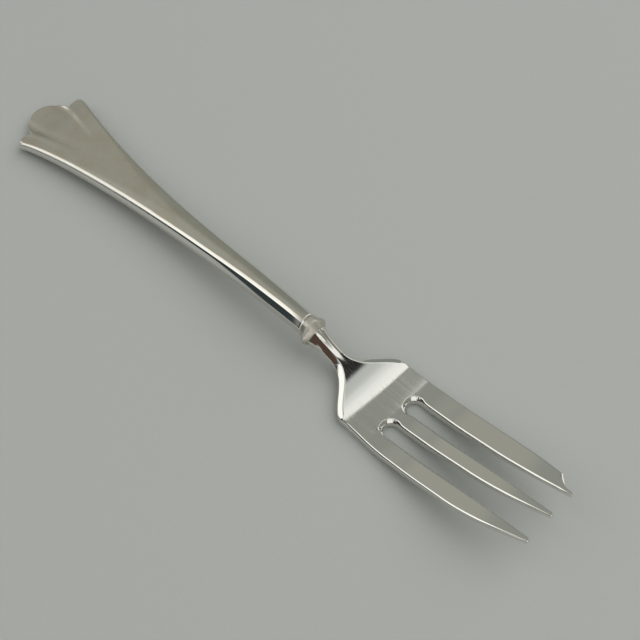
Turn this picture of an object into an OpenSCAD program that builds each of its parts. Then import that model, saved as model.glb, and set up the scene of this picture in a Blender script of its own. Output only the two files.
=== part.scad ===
// A pastry fork with three tines and a filled handle that ends in a lobed fan.
// It lies as on a table: +X runs to the tines, +Y to the wide cutting tine and +Z up.
// The origin is under the middle of its length and width, on the table.
// Two pressed shells and the filling between them make the handle, a collar with two
// ears closes its mouth, and the tang of the head runs through the collar into the filling.

/* [Handle] */
// Length of the handle, from the tip of the fan to the mouth at the collar
handle_length = 84.4; // [74:0.1:94]
// How far each corner of the fan lies inside the sides of the head
fan_inset = 0.2; // [-0.5:0.05:1.5]
// How far the middle lobe reaches past the corners
lobe_depth = 4.9; // [3:0.1:6]
// Width of the middle lobe at its two notches
lobe_width = 10.8; // [8:0.1:12]
// Width of the top between its edges at the mouth
mouth_width = 2.4; // [2:0.1:3.4]
// How far each side swells past the top edge at the mouth
side_swell = 1.15; // [0.8:0.05:1.4]
// Thickness at the fan
fan_thickness = 2.1; // [1.9:0.1:2.6]
// Thickness at the mouth
mouth_thickness = 3.6; // [3.2:0.1:4.2]
// Length of the flat panel that runs from the fan to a point
panel_length = 45.5; // [30:0.5:60]
// Length of the two flutes that run in from the notches
flute_length = 15.5; // [8:0.5:22]
// Height of the flutes over the panel at the notches
flute_height = 0.22; // [0.1:0.01:0.3]
// Wall of the two pressed shells
shell_wall = 0.45; // [0.35:0.05:0.5]

/* [Collar] */
// Length of the collar along the fork
collar_length = 3; // [2:0.1:4]
// Width over the two ears of the collar
ear_width = 6.8; // [6:0.1:8]

/* [Neck and bowl] */
// Length of the narrow neck, from the collar to where the bowl starts to widen
neck_length = 4.6; // [3.5:0.1:7]
// Width of the neck
neck_width = 3.7; // [3.2:0.1:4.4]
// Width between the top edges of the neck
neck_top_width = 1.6; // [0.8:0.1:2]
// Width of the root of the neck, where it stands against the collar
root_width = 5.2; // [4.6:0.1:5.8]
// Thickness of the neck
neck_thickness = 3; // [2.7:0.1:3.6]
// Length in which the neck widens to the shoulders of the bowl
shoulder_length = 10.1; // [8:0.1:13]
// How far the top edge of the shoulders lies behind their outer edge
shoulder_bevel = 1.2; // [0.6:0.1:1.4]
// Length of the bowl, from its shoulders to the roots of the tines
bowl_length = 6.9; // [5.5:0.1:9]
// Width of the head over its outer tines
head_width = 19; // [17:0.1:21]
// Thickness of the bowl
bowl_thickness = 2.1; // [1.8:0.1:2.6]

/* [Tines] */
// Length of the tines, from the roots of the slots to the tips
tine_length = 36; // [28:0.5:44]
// Width of the two slots
slot_width = 3.35; // [2.5:0.05:3.6]
// Width of the narrow outer tine
side_tine_width = 3.95; // [3.2:0.05:4.2]
// Width of the middle tine
middle_tine_width = 3.5; // [2.8:0.05:3.8]
// Thickness of the tines at their tips
tip_thickness = 1.1; // [0.9:0.1:1.6]
// Width of the blunt end of each tine
tip_width = 0.6; // [0.4:0.1:0.9]
// Length in which the tines taper to their tips
taper_length = 17; // [10:0.5:22]
// Length of the notch at the tip of the cutting tine
nick_length = 3.8; // [2:0.1:6]

/* [Rest] */
// Height of the underside over the table where the handle is highest
arch_height = 5; // [3:0.1:9]
// Height of the underside over the table at the tips of the tines
tip_lift = 8; // [4:0.1:12]
// Length of the flat land on which the bowl rests
heel_length = 4.6; // [3:0.1:5]
// Length of the flat land on which the fan rests
fan_land = 3; // [2.6:0.1:4]

/* [Tang] */
// Length of the tang, from the collar's front face into the handle
tang_length = 20; // [12:0.5:22]
// Width of the tang
tang_width = 1.7; // [1.3:0.1:1.8]
// Thickness of the tang
tang_thickness = 1.1; // [0.9:0.1:1.2]

/* [Fits] */
// Clearance round the tang in the collar and in the filling
tang_clearance = 0.1; // [0.05:0.01:0.12]
// Clearance between the filling and the shells
filling_clearance = 0.04; // [0.02:0.01:0.06]

/* [Colours] */
// Colour of the silver-plated metal
silver_colour = "silver"; // ["silver", "lightgray", "gainsboro"]
// Colour of the filling
filling_colour = "saddlebrown"; // ["saddlebrown", "sienna", "dimgray"]

/* [Hidden] */

// The fan is about as wide as the head
fan_width = head_width - 2 * fan_inset;

// One overrun serves every cut and every end that sinks into its own solid
over = 0.4 * shell_wall;

// Stations along the fork
overall_length = handle_length + collar_length + neck_length + shoulder_length + bowl_length
    + tine_length;
x_fan = -overall_length / 2;
x_corner = x_fan + lobe_depth;
x_mouth = x_fan + handle_length;
x_collar = x_mouth + collar_length;
x_neck = x_collar + neck_length;
x_shoulder = x_neck + shoulder_length;
x_root = x_shoulder + bowl_length;
x_tip = x_root + tine_length;
x_plate = x_shoulder + 0.24 * bowl_length;
x_heel = x_plate + 0.04 * heel_length;
x_panel = x_corner + panel_length;

// Underside of the fork over the table, as shares of each stretch and of its height
handle_rise_shares = [[0.085, 0.2], [0.17, 0.32], [0.33, 0.42], [0.5, 0.56], [0.68, 0.77],
    [0.86, 0.98], [0.94, 1], [1, 0.96]];
neck_fall_shares = [[0.14, 0.82], [0.28, 0.6], [0.47, 0.36], [0.72, 0.13], [0.9, 0.02], [1, 0]];
tine_rise_shares = [[0.25, 0.17], [0.5, 0.47], [0.77, 0.8], [1, 1]];
under_knots = concat(
    [[x_fan, 0], [x_fan + fan_land, 0]],
    [for (k = handle_rise_shares) [x_fan + k[0] * handle_length, k[1] * arch_height]],
    [for (k = neck_fall_shares) [x_mouth + k[0] * (x_heel - x_mouth), k[1] * arch_height]],
    [for (k = tine_rise_shares)
        [x_heel + heel_length + k[0] * (x_tip - x_heel - heel_length), k[1] * tip_lift]]);
// The land of the heel ends where the tines start to rise
rise_knots = [for (k = under_knots) if (k[0] <= x_heel) k];
lift_knots = [for (k = under_knots) if (k[0] > x_heel) k];
rest_knots = concat(rise_knots, [[x_heel + heel_length, 0]], lift_knots);

// Thickness along the fork
middle_thickness = mix(fan_thickness, mouth_thickness, 0.68);
tine_thickness = mix(bowl_thickness, tip_thickness, 0.55);
thick_knots = [[x_fan, fan_thickness], [x_corner + 0.55 * panel_length, mix(fan_thickness,
    middle_thickness, 0.6)], [x_panel, middle_thickness], [x_mouth, mouth_thickness],
    [x_neck, neck_thickness], [x_shoulder, 1.08 * bowl_thickness], [x_root, bowl_thickness],
    [x_root + 0.45 * tine_length, tine_thickness], [x_tip, tip_thickness]];

// How the handle flares: a straight share and a power for the rest
flare_share = 0.25;
flare_power = 3.2;
panel_power = 1.6;
// Slope of the two facets beside the panel, as rise over run
facet_slope = 0.2;
// Swell of the ears along the collar, as shares of its length and of the ear
ear_shares = [[0, 0], [0.2, 0.2], [0.4, 0.62], [0.53, 0.9], [0.63, 1], [0.75, 0.92], [0.88, 0.58],
    [1, 0.3]];
// Drop from the top edge to the seam, as a share of the thickness: fan, mouth, ears, neck, bowl
fan_seam_share = 0.5;
seam_share = 0.44;
ear_drop_share = 0.55;
neck_rim_share = 0.45;
rim_share = 0.22;
// Half width of the top at the collar's front face, as a share of the one at the mouth
crest_share = 0.8;
// Tuck of the underside inside the seam, as a share of the swell
tuck_share = 0.15;
// Width of the underside of the neck, as a share of the width at its rim
neck_foot_share = 0.6;
// How much of the swell is gone at the fan
swell_loss_share = 0.92;
// Where each tine has its tip, as a share of its width from its side nearest -Y
side_tip_share = 0.93;
middle_tip_share = 0.9;
cutting_tip_share = 0.36;
// How far the middle tine and the cutting tine narrow before the taper, as shares of their widths
middle_narrow_share = 0.14;
cutting_narrow_share = 0.2;
// Height of the tang's middle in the mouth, as a share of the thickness there
tang_height_share = 0.52;

// Stations across the top of the handle, as shares of its half width, and along it
across_shares = [0.13, 0.27, 0.4, 0.5, 0.555, 0.58, 0.7, 0.85, 1];
across = concat([for (i = [len(across_shares) - 1:-1:0]) -across_shares[i]], [0], across_shares);
along_steps = 20;

function smooth(u) = u <= 0 ? 0 : u >= 1 ? 1 : u * u * (3 - 2 * u);
function mix(a, b, u) = a + (b - a) * u;
function clamp(u) = max(0, min(1, u));

// Smooth curve through knots [place, value] that never swings past a knot
function rise(k, i) = (k[i + 1][1] - k[i][1]) / (k[i + 1][0] - k[i][0]);
function tilt(k, i) = (i <= 0 || i >= len(k) - 1) ? rise(k, i <= 0 ? 0 : len(k) - 2)
    : rise(k, i - 1) * rise(k, i) <= 0 ? 0
    : 2 * rise(k, i - 1) * rise(k, i) / (rise(k, i - 1) + rise(k, i));
function span(k, x, i = 0) = (i >= len(k) - 2 || x < k[i + 1][0]) ? i : span(k, x, i + 1);
function blend(k, i, w, u) = k[i][1] * (1 + 2 * u) * (1 - u) * (1 - u)
    + k[i + 1][1] * u * u * (3 - 2 * u)
    + w * (tilt(k, i) * u * (1 - u) * (1 - u) - tilt(k, i + 1) * u * u * (1 - u));
function curve(k, x) = let (i = span(k, x), w = k[i + 1][0] - k[i][0])
    blend(k, i, w, clamp((x - k[i][0]) / w));

function under(x) = curve(rest_knots, x);
function plain_top(x) = under(x) + curve(thick_knots, x);
// On the collar the top runs on almost level to a brow, and falls in a straight line from there
brow_fall = 0.05;
x_brow = x_mouth + 0.47 * collar_length;
x_join = x_collar + 0.35 * neck_length;
brow_z = plain_top(x_mouth) - brow_fall * (x_brow - x_mouth);
function top(x) = (x <= x_mouth || x >= x_join) ? plain_top(x)
    : x < x_brow ? mix(plain_top(x_mouth), brow_z, (x - x_mouth) / (x_brow - x_mouth))
    : mix(brow_z, plain_top(x_join), (x - x_brow) / (x_join - x_brow));
function seam_drop_share(x) = x < x_mouth ? mix(seam_share, fan_seam_share, flare(x))
    : x < x_collar ? mix(seam_share, ear_drop_share, smooth((x - x_mouth) / (0.6 * collar_length)))
    : mix(mix(ear_drop_share, neck_rim_share, smooth((x - x_collar) / neck_length)), rim_share,
        smooth((x - x_neck) / shoulder_length));
function seam(x) = top(x) - seam_drop_share(x) * curve(thick_knots, x);

// Half widths of the handle: top edge, seam, underside and flat panel
function flare(x) = clamp((x_mouth - x) / (x_mouth - x_corner));
function handle_half(x) = mix(mouth_width / 2, fan_width / 2,
    flare_share * flare(x) + (1 - flare_share) * pow(flare(x), flare_power));
function swell(x) = side_swell * (1 - swell_loss_share * smooth(flare(x)));
function panel_half(x) = (fan_width / 2 - 0.3 * side_swell)
    * pow(clamp((x_panel - x) / panel_length), panel_power);

// Flutes run in from the notches, each a raised line with a shallow valley on its inner side
function flute_run(x) = clamp((x - x_corner) / flute_length);
function flute_y(x) = mix(lobe_width / 2, 0.42 * lobe_width / 2, flute_run(x));
function flute(x, y) = let (d = (abs(y) - flute_y(x)) / (0.08 * lobe_width))
    flute_height * (1 - flute_run(x)) * (exp(-d * d) - 1.1 * exp(-(d + 1.5) * (d + 1.5) / 2));

function handle_top(x, y) = top(x) + flute(x, y)
    + facet_slope * (handle_half(x) - max(abs(y), panel_half(x)));

// Each corner is a small lobe of its own, rounded off at its outer side
function corner_end(w) = lobe_depth * (0.12 * (1 - pow(2 * w - 1, 4)) - 0.17 * pow(w, 10));
// Outline of the fan's end: how far it lies short of the tip at a share of the half width
function fan_end(q) = let (v = abs(q) * fan_width / lobe_width)
    v < 1 ? x_corner - lobe_depth * pow(1 - v * v, 0.6)
          : x_corner - corner_end((v - 1) / (fan_width / lobe_width - 1));
// A line across share q runs from the mouth to the fan's end, u from 0 to 1
function along(q, u, inset) = mix(x_mouth, fan_end(q) + inset, u);

// Outer or inner skin of one half of the handle: rows along it, points across it.
// The first and last point of each row and the whole last row lie on the seam.
function skin_z(x, y, inset, front) = front ? handle_top(x, y) - inset : under(x) + inset;
function seam_half(x, inset) = handle_half(x) + swell(x) - inset;
function skin_half(x, inset, front) = front ? handle_half(x) - inset * mix(0.7, 1, flare(x))
    : seam_half(x, inset) - tuck_share * swell(x);
function skin_point(q, u, inset, front) = let (x = along(q, u, inset), y = q * skin_half(x, inset, front))
    [x, y, skin_z(x, y, inset, front)];
function seam_point(q, u, inset) = let (x = along(q, u, inset)) [x, q * seam_half(x, inset), seam(x)];
function skin_row(u, inset, front) = concat(
    [seam_point(-1, 0.995 * u, inset)],
    [for (q = across) skin_point(q, u, inset, front)],
    [seam_point(1, 0.995 * u, inset)]);
function end_row(inset) = concat(
    [seam_point(-1, 1, inset) + [0, 0.1 * side_swell, 0]],
    [for (q = across) seam_point(0.97 * q, 1, inset)],
    [seam_point(1, 1, inset) - [0, 0.1 * side_swell, 0]]);
// Stations lie closer together at the fan
function station(i) = let (u = i / along_steps) mix(u, 1 - (1 - u) * (1 - u), 0.45);
function skin(inset, front) = concat(
    [for (i = [0:along_steps]) skin_row(station(i), inset, front)], [end_row(inset)]);

rows = along_steps + 2;
cols = len(across) + 2;

// Quads of a grid that starts at index n, wound for a face seen from above. Their diagonals
// mirror about the middle, so that no triangle at the fan's end lies wholly on the seam.
function halves(a, b, c, d, left) = left ? [[a, d, b], [b, d, c]] : [[a, c, b], [a, d, c]];
function grid_faces(n, turned) = [for (i = [0:rows - 2], j = [0:cols - 2])
    let (a = n + i * cols + j, t = halves(a, a + 1, a + cols + 1, a + cols, j < cols / 2 - 1))
    each turned ? [for (f = t) [f[2], f[1], f[0]]] : t];
// The edge of a grid from the mouth on one side round the fan to the mouth on the other
edge = concat([for (i = [0:rows - 1]) i * cols],
    [for (j = [1:cols - 1]) (rows - 1) * cols + j],
    [for (i = [rows - 2:-1:0]) i * cols + cols - 1]);
mouth = [for (j = [0:cols - 1]) j];
function strip(path, n, m, turned) = [for (i = [0:len(path) - 2])
    let (a = n + path[i], b = n + path[i + 1], c = m + path[i + 1], d = m + path[i])
    each turned ? [[a, b, c], [a, c, d]] : [[a, c, b], [a, d, c]]];

// One pressed shell: an outer and an inner skin, joined along the seam and at the mouth
module shell(front) {
    outer = [for (r = skin(0, front)) each r];
    inner = [for (r = skin(shell_wall, front)) each r];
    count = len(outer);
    polyhedron(concat(outer, inner), concat(
        grid_faces(0, !front), grid_faces(count, front),
        strip(edge, 0, count, !front), strip(mouth, 0, count, front)), convexity = 6);
}

// The volume inside both shells
module filling_body() {
    inset = shell_wall + filling_clearance;
    upper = [for (r = skin(inset, true)) each r];
    lower = [for (r = skin(inset, false)) each r];
    count = len(upper);
    // Points on the seam are shared, so the lower faces take the upper grid's index there
    shared = [for (i = [0:count - 1]) let (row = floor(i / cols), col = i % cols)
        (row == rows - 1 || col == 0 || col == cols - 1) ? i : count + i];
    polyhedron(concat(upper, lower), concat(
        grid_faces(0, false),
        [for (f = grid_faces(0, true)) [for (v = f) shared[v]]],
        [concat(mouth, [for (j = [cols - 2:-1:1]) shared[j]])]), convexity = 6);
}

tang_z = under(x_mouth) + tang_height_share * mouth_thickness;
module tang(clearance, reach) {
    translate([x_collar - tang_length - clearance, -tang_width / 2 - clearance,
        tang_z - tang_thickness / 2 - clearance])
        cube([tang_length + clearance + reach, tang_width + 2 * clearance,
            tang_thickness + 2 * clearance]);
}

// Half widths from the mouth to the tines: top edge, seam and underside
function cove(x) = pow(1 - clamp((x - x_collar) / (0.7 * neck_length)), 2.2);
function widen(x, late) = let (
        u = clamp((x - x_neck - late) / (shoulder_length + 0.2 * late)),
        v = smooth((x - x_shoulder) / (1.7 * bowl_length)))
    0.95 * smooth(pow(u, late > 0 ? 1.2 : 1.3)) + 0.05 * v;
function head_half(x, narrow, late) = narrow / 2 + (head_width - narrow) / 2 * widen(x, late);
crest_half = crest_share * mouth_width / 2;
function top_half(x) = x < x_collar
    ? mix(mouth_width / 2, crest_half, smooth((x - x_mouth) / collar_length))
    : head_half(x, neck_top_width, shoulder_bevel) + (crest_half - neck_top_width / 2) * cove(x);
function rim_half(x) = x < x_collar
    ? mix(mouth_width / 2 + side_swell, ear_width / 2,
        curve(ear_shares, (x - x_mouth) / collar_length))
    : head_half(x, neck_width, 0) + (root_width - neck_width) / 2 * cove(x);
mouth_foot_share = 1 - tuck_share * side_swell / (mouth_width / 2 + side_swell);
function low_half(x) = rim_half(x) * mix(
    mix(mouth_foot_share, neck_foot_share, smooth((x - x_collar) / (0.75 * neck_length))), 1,
    smooth((x - x_neck) / (0.8 * shoulder_length)));
function crown(x) = facet_slope * mouth_width / 2
    * (1 - smooth((x - x_neck) / (0.4 * shoulder_length)));

// One section of the collar, neck or shoulders, as a ring of points
neck_steps = 20;
collar_steps = 8;
ring_shares = [-1, -0.5, 0, 0.5, 1];
function ring(x) = concat(
    [for (q = ring_shares) [x, q * top_half(x), top(x) + crown(x) * (1 - q * q)]],
    [[x, rim_half(x), seam(x)], [x, low_half(x), under(x)],
     [x, -low_half(x), under(x)], [x, -rim_half(x), seam(x)]]);

// A ring drawn in a little at station x and placed at another, so that it ends inside the plate
joint_step = 0.03;
function drawn_in(x, at) = [for (p = ring(x))
    [at, p[1] - sign(p[1]) * joint_step, p[2] + sign(seam(x) - p[2]) * joint_step]];
function middle(r) = [r[0][0], 0, (r[2][2] + r[len(r) - 2][2]) / 2];

module loft(rings) {
    n = len(rings[0]);
    last = (len(rings) - 1) * n;
    first_middle = len(rings) * n;
    polyhedron(concat([for (r = rings) each r], [middle(rings[0]), middle(rings[len(rings) - 1])]),
        concat(
            [for (j = [0:n - 1]) [first_middle, (j + 1) % n, j]],
            [for (i = [0:len(rings) - 2], j = [0:n - 1])
                let (a = i * n + j, b = i * n + (j + 1) % n, c = b + n, d = a + n)
                each [[a, c, d], [a, b, c]]],
            [for (j = [0:n - 1]) [first_middle + 1, last + j, last + (j + 1) % n]]),
        convexity = 4);
}

// Edges of the tines in plan, from the side nearest -Y to the other
side_y = -head_width / 2 + side_tine_width;
middle_y = side_y + slot_width;
middle_far_y = middle_y + middle_tine_width;
cutting_y = middle_far_y + slot_width;
cutting_tine_width = head_width / 2 - cutting_y;
function taper(x) = clamp((x - x_tip + taper_length) / taper_length);
function run(x) = clamp((x - x_root) / tine_length);
side_tip_y = -head_width / 2 + side_tip_share * side_tine_width - tip_width;
middle_tip_y = middle_y + middle_tip_share * middle_tine_width - tip_width;
cutting_tip_y = cutting_y + cutting_tip_share * cutting_tine_width - tip_width / 2;
function side_outer(x) = mix(-head_half(x, neck_width, 0), side_tip_y, pow(taper(x), 1.8));
function middle_near(x) = mix(middle_y + middle_narrow_share * middle_tine_width * run(x),
    middle_tip_y, pow(taper(x), 2));
function middle_far(x) = middle_far_y - 0.25 * middle_narrow_share * middle_tine_width * run(x);
function cutting_near(x) = mix(cutting_y, cutting_tip_y, pow(taper(x), 2));
function cutting_outer(x) = head_half(x, neck_width, 0)
    - cutting_narrow_share * cutting_tine_width * pow(run(x), 3);
nick_x = x_tip - nick_length;
nick_steps = 6;
// The notch at the cutting tine's tip curves in from its outer edge to the tip
function nick(u) = [mix(nick_x, x_tip, u), mix(cutting_outer(nick_x), cutting_tip_y + tip_width,
    1 - pow(1 - u, 2.4))];

bowl_steps = 6;
tine_steps = 14;
bowl_stations = [for (i = [0:bowl_steps - 1]) mix(x_plate, x_tip - taper_length, i / bowl_steps)];
tine_stations = [for (i = [0:tine_steps]) mix(x_tip - taper_length, x_tip, i / tine_steps)];
slot_stations = [for (x = concat(bowl_stations, tine_stations)) if (x > x_root + slot_width) x];
slot_centre = x_root + slot_width / 2;

module slot(y, near, far) {
    translate([slot_centre, y]) circle(d = slot_width, $fn = 32);
    polygon(concat(
        [[slot_centre, y - slot_width / 2]], near, [[x_tip + over, near[len(near) - 1][1]]],
        [[x_tip + over, far[len(far) - 1][1]]], [for (i = [len(far) - 1:-1:0]) far[i]],
        [[slot_centre, y + slot_width / 2]]));
}

module head_plan() {
    difference() {
        polygon(concat(
            [for (x = concat(bowl_stations, tine_stations)) [x, side_outer(x)]],
            [for (i = [nick_steps:-1:0]) nick(i / nick_steps)],
            [for (i = [tine_steps:-1:0]) if (tine_stations[i] < nick_x)
                [tine_stations[i], cutting_outer(tine_stations[i])]],
            [for (i = [bowl_steps - 1:-1:0]) [bowl_stations[i], cutting_outer(bowl_stations[i])]]));
        slot(side_y + slot_width / 2,
            [for (x = slot_stations) [x, side_y]],
            [for (x = slot_stations) [x, middle_near(x)]]);
        slot(cutting_y - slot_width / 2,
            [for (x = slot_stations) [x, middle_far(x)]],
            [for (x = slot_stations) [x, cutting_near(x)]]);
    }
}

// The side view of the bowl and tines, with the flat land of the heel as one straight line
side_steps = 24;
side_stations = concat([x_plate, x_heel],
    [for (i = [0:side_steps]) mix(x_heel + heel_length, x_tip + over, i / side_steps)]);
top_stations = [for (i = [0:side_steps]) mix(x_plate, x_tip + over, i / side_steps)];
module head_side() {
    rotate([90, 0, 0]) translate([0, 0, -head_width])
        linear_extrude(2 * head_width)
            polygon(concat([for (x = side_stations) [x, under(x)]],
                [for (i = [side_steps:-1:0]) [top_stations[i], top(top_stations[i])]]));
}

module fork_head() {
    color(silver_colour) {
        intersection() {
            linear_extrude(2 * (tip_lift + arch_height)) head_plan();
            head_side();
        }
        loft(concat([for (i = [0:neck_steps - 1]) ring(mix(x_collar, x_plate, i / neck_steps))],
            [drawn_in(x_plate, x_plate), drawn_in(x_plate, x_plate + over)]));
        tang(0, over);
    }
}

module shoulder_collar() {
    color(silver_colour) difference() {
        loft([for (i = [0:collar_steps]) ring(mix(x_mouth, x_collar, i / collar_steps))]);
        tang(tang_clearance, over);
    }
}

module handle_front_shell() {
    color(silver_colour) shell(true);
}

module handle_back_shell() {
    color(silver_colour) shell(false);
}

module handle_filling() {
    color(filling_colour) difference() {
        filling_body();
        tang(tang_clearance, over);
    }
}

fork_head();
shoulder_collar();
handle_front_shell();
handle_back_shell();
handle_filling();
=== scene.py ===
"""A pastry fork in polished silver plate, dressed round its packed solids.

The fork lies as on a table: +X runs to the tines, +Y to the wide cutting tine and +Z up.
Its forms come from the same sizes and shares as the solids, with their edges rounded.
"""

import math

import bmesh
import bpy
import numpy as np
from mathutils import Matrix, Vector


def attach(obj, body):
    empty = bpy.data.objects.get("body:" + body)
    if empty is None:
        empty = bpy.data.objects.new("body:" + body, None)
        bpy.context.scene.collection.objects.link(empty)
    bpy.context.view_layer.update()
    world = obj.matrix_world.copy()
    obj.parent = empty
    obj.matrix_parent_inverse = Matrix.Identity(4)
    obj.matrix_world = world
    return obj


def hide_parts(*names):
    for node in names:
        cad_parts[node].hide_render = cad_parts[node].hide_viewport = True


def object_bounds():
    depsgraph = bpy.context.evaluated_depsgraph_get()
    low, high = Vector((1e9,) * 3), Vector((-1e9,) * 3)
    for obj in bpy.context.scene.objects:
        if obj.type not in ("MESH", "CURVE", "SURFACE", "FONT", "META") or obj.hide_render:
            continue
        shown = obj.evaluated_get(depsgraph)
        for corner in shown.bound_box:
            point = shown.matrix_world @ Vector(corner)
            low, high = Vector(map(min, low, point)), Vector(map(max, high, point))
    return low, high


bl_info = {
    "name": "Pastry fork",
    "version": (1, 0, 0),
    "blender": (4, 5, 0),
    "location": "3D View > Sidebar > Pastry fork",
    "description": "Dresses the solids of a pastry fork with smooth forms and silver plate",
    "category": "Object",
}

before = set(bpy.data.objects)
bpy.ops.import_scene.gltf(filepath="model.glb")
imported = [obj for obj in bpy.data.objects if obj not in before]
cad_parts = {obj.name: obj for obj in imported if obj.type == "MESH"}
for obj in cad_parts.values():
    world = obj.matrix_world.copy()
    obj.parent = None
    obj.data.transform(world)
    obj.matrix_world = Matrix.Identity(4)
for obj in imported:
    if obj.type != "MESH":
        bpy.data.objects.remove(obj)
CAD_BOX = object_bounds()

MM = 0.001


def length(name, description, millimetres):
    """A length that a user can change, given in millimetres."""
    return bpy.props.FloatProperty(
        name=name, description=description, default=millimetres * MM,
        min=0.0, unit="LENGTH", subtype="DISTANCE", precision=5)


def share(name, description, default):
    """A share of another size."""
    return bpy.props.FloatProperty(
        name=name, description=description, default=default, min=0.0, max=1.0,
        subtype="FACTOR", precision=3)


def colour(name, description, hexadecimal):
    """A colour that a user can change, given as sRGB hex."""
    return bpy.props.FloatVectorProperty(
        name=name, description=description, default=linear(hexadecimal)[:3], size=3,
        min=0.0, max=1.0, subtype="COLOR")


def linear(hexadecimal):
    """An sRGB hex colour as linear red, green, blue and alpha."""
    shown = [int(hexadecimal[i:i + 2], 16) / 255 for i in (1, 3, 5)]
    return [c / 12.92 if c <= 0.04045 else ((c + 0.055) / 1.055) ** 2.4 for c in shown] + [1.0]


class ForkHandleSizes(bpy.types.PropertyGroup):
    """Sizes of the handle and its collar."""
    handle_length: length("Handle length", "From the tip of the fan to the mouth", 84.4)
    fan_inset: length("Fan inset", "How far each corner lies inside the head's sides", 0.2)
    lobe_depth: length("Lobe depth", "How far the middle lobe reaches past the corners", 4.9)
    lobe_width: length("Lobe width", "Width of the middle lobe at its notches", 10.8)
    mouth_width: length("Mouth width", "Width of the top between its edges at the mouth", 2.4)
    side_swell: length("Side swell", "How far each side swells past the top edge", 1.15)
    fan_thickness: length("Fan thickness", "Thickness at the fan", 2.1)
    mouth_thickness: length("Mouth thickness", "Thickness at the mouth", 3.6)
    panel_length: length("Panel length", "Length of the flat panel in the fan", 45.5)
    flute_length: length("Flute length", "Length of the flutes from the notches", 15.5)
    flute_height: length("Flute height", "Height of the flutes at the notches", 0.22)
    shell_wall: length("Shell wall", "Wall of the two pressed shells", 0.45)
    collar_length: length("Collar length", "Length of the collar along the fork", 3.0)
    ear_width: length("Ear width", "Width over the collar's ears", 6.8)
    edge_rounding: length("Edge rounding", "Reach of the polished top edges", 0.6)
    crease_softness: length("Crease softness", "Width over which a crease turns", 0.3)


class ForkHeadSizes(bpy.types.PropertyGroup):
    """Sizes of the neck, the bowl and the tines."""
    neck_length: length("Neck length", "From the collar to where the bowl widens", 4.6)
    neck_width: length("Neck width", "Width of the neck", 3.7)
    neck_top_width: length("Neck top width", "Width between the neck's top edges", 1.6)
    root_width: length("Root width", "Width of the neck against the collar", 5.2)
    neck_thickness: length("Neck thickness", "Thickness of the neck", 3.0)
    shoulder_length: length("Shoulder length", "Length in which the neck widens", 10.1)
    shoulder_bevel: length("Shoulder bevel", "How far the top edge lies behind", 1.2)
    bowl_length: length("Bowl length", "From the shoulders to the tines", 6.9)
    head_width: length("Head width", "Width over the outer tines", 19.0)
    bowl_thickness: length("Bowl thickness", "Thickness of the bowl", 2.1)
    tine_length: length("Tine length", "From the slots' roots to the tips", 36.0)
    slot_width: length("Slot width", "Width of the two slots", 3.35)
    side_tine_width: length("Side tine width", "Width of the narrow outer tine", 3.95)
    middle_tine_width: length("Middle tine width", "Width of the middle tine", 3.5)
    tip_thickness: length("Tip thickness", "Thickness of the tips", 1.1)
    tip_width: length("Tip width", "Width of each blunt end", 0.6)
    taper_length: length("Taper length", "Length of the taper to the tips", 17.0)
    nick_length: length("Nick length", "Length of the cutting tine's notch", 3.8)
    arch_height: length("Arch height", "Underside over the table at the mouth", 5.0)
    tip_lift: length("Tip lift", "Underside over the table at the tips", 8.0)
    heel_length: length("Heel length", "Flat land under the bowl", 4.6)
    fan_land: length("Fan land", "Flat land under the fan", 3.0)
    rim_rounding: length("Rim rounding", "Reach of the rounding on the rims", 0.34)
    lip_height: length("Lip height", "How far the collar stands over the neck", 0.16)
    tang_length: length("Tang length", "From the collar's face into the handle", 20.0)
    tang_width: length("Tang width", "Width of the tang", 1.7)
    tang_thickness: length("Tang thickness", "Thickness of the tang", 1.1)


class ForkFinish(bpy.types.PropertyGroup):
    """Colours and polish of the fork's materials."""
    plate: colour("Silver plate", "Colour of the polished silver plate", "#e9e8e2")
    handled_plate: colour("Handled plate", "Colour where handling has left a warm film", "#dcd5c6")
    cement: colour("Handle cement", "Colour of the cement in the handle", "#3a2a1d")
    polish: share("Polish", "Roughness of the polished plate", 0.055)
    film: share("Film", "How much rougher the handle's flats are", 0.09)


class ForkStage(bpy.types.PropertyGroup):
    """Colours of the stage round the fork."""
    floor: colour("Floor", "Colour of the plain floor", "#a8aaa7")


# Underside over the table, as shares of each stretch and of its height
HANDLE_RISE_SHARES = [(0.085, 0.2), (0.17, 0.32), (0.33, 0.42), (0.5, 0.56), (0.68, 0.77),
                      (0.86, 0.98), (0.94, 1), (1, 0.96)]
NECK_FALL_SHARES = [(0.14, 0.82), (0.28, 0.6), (0.47, 0.36), (0.72, 0.13), (0.9, 0.02), (1, 0)]
TINE_RISE_SHARES = [(0.25, 0.17), (0.5, 0.47), (0.77, 0.8), (1, 1)]
# Swell of the ears along the collar, as shares of its length and of the ear
EAR_SHARES = [(0, 0), (0.2, 0.2), (0.4, 0.62), (0.53, 0.9), (0.63, 1), (0.75, 0.92), (0.88, 0.58),
              (1, 0.3)]
# Starts of the bowl's flat plate and of the heel under it, as shares of bowl and heel
PLATE_START, HEEL_START = 0.24, 0.04
# Thickness where the panel ends, on the way from the fan's to the mouth's; within the panel,
# on the way from the fan's to that; at the shoulders against the bowl's; and within the
# tines, on the way from the bowl's to the tips'
PANEL_THICKNESS_SHARE = 0.68
PANEL_STATION, PANEL_STATION_SHARE = 0.55, 0.6
SHOULDER_THICKNESS_SHARE = 1.08
TINE_STATION, TINE_STATION_SHARE = 0.45, 0.55
# How the handle and its panel flare: a straight share, and powers for the rest
FLARE_SHARE, FLARE_POWER, PANEL_POWER = 0.25, 3.2, 1.6
# How far the panel lies inside the fan's sides, as a share of their swell, and the width in
# which it turns into the facets once it is a millimetre wide, in mm
PANEL_INSET_SHARE, PANEL_SOFTNESS = 0.3, 0.5
# Slope of the two facets beside the panel, as rise over run
FACET_SLOPE = 0.2
# Softness of the ends of flutes and panel, as shares of their lengths
FLUTE_END_SOFTNESS, PANEL_END_SOFTNESS = 0.05, 0.01
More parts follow.
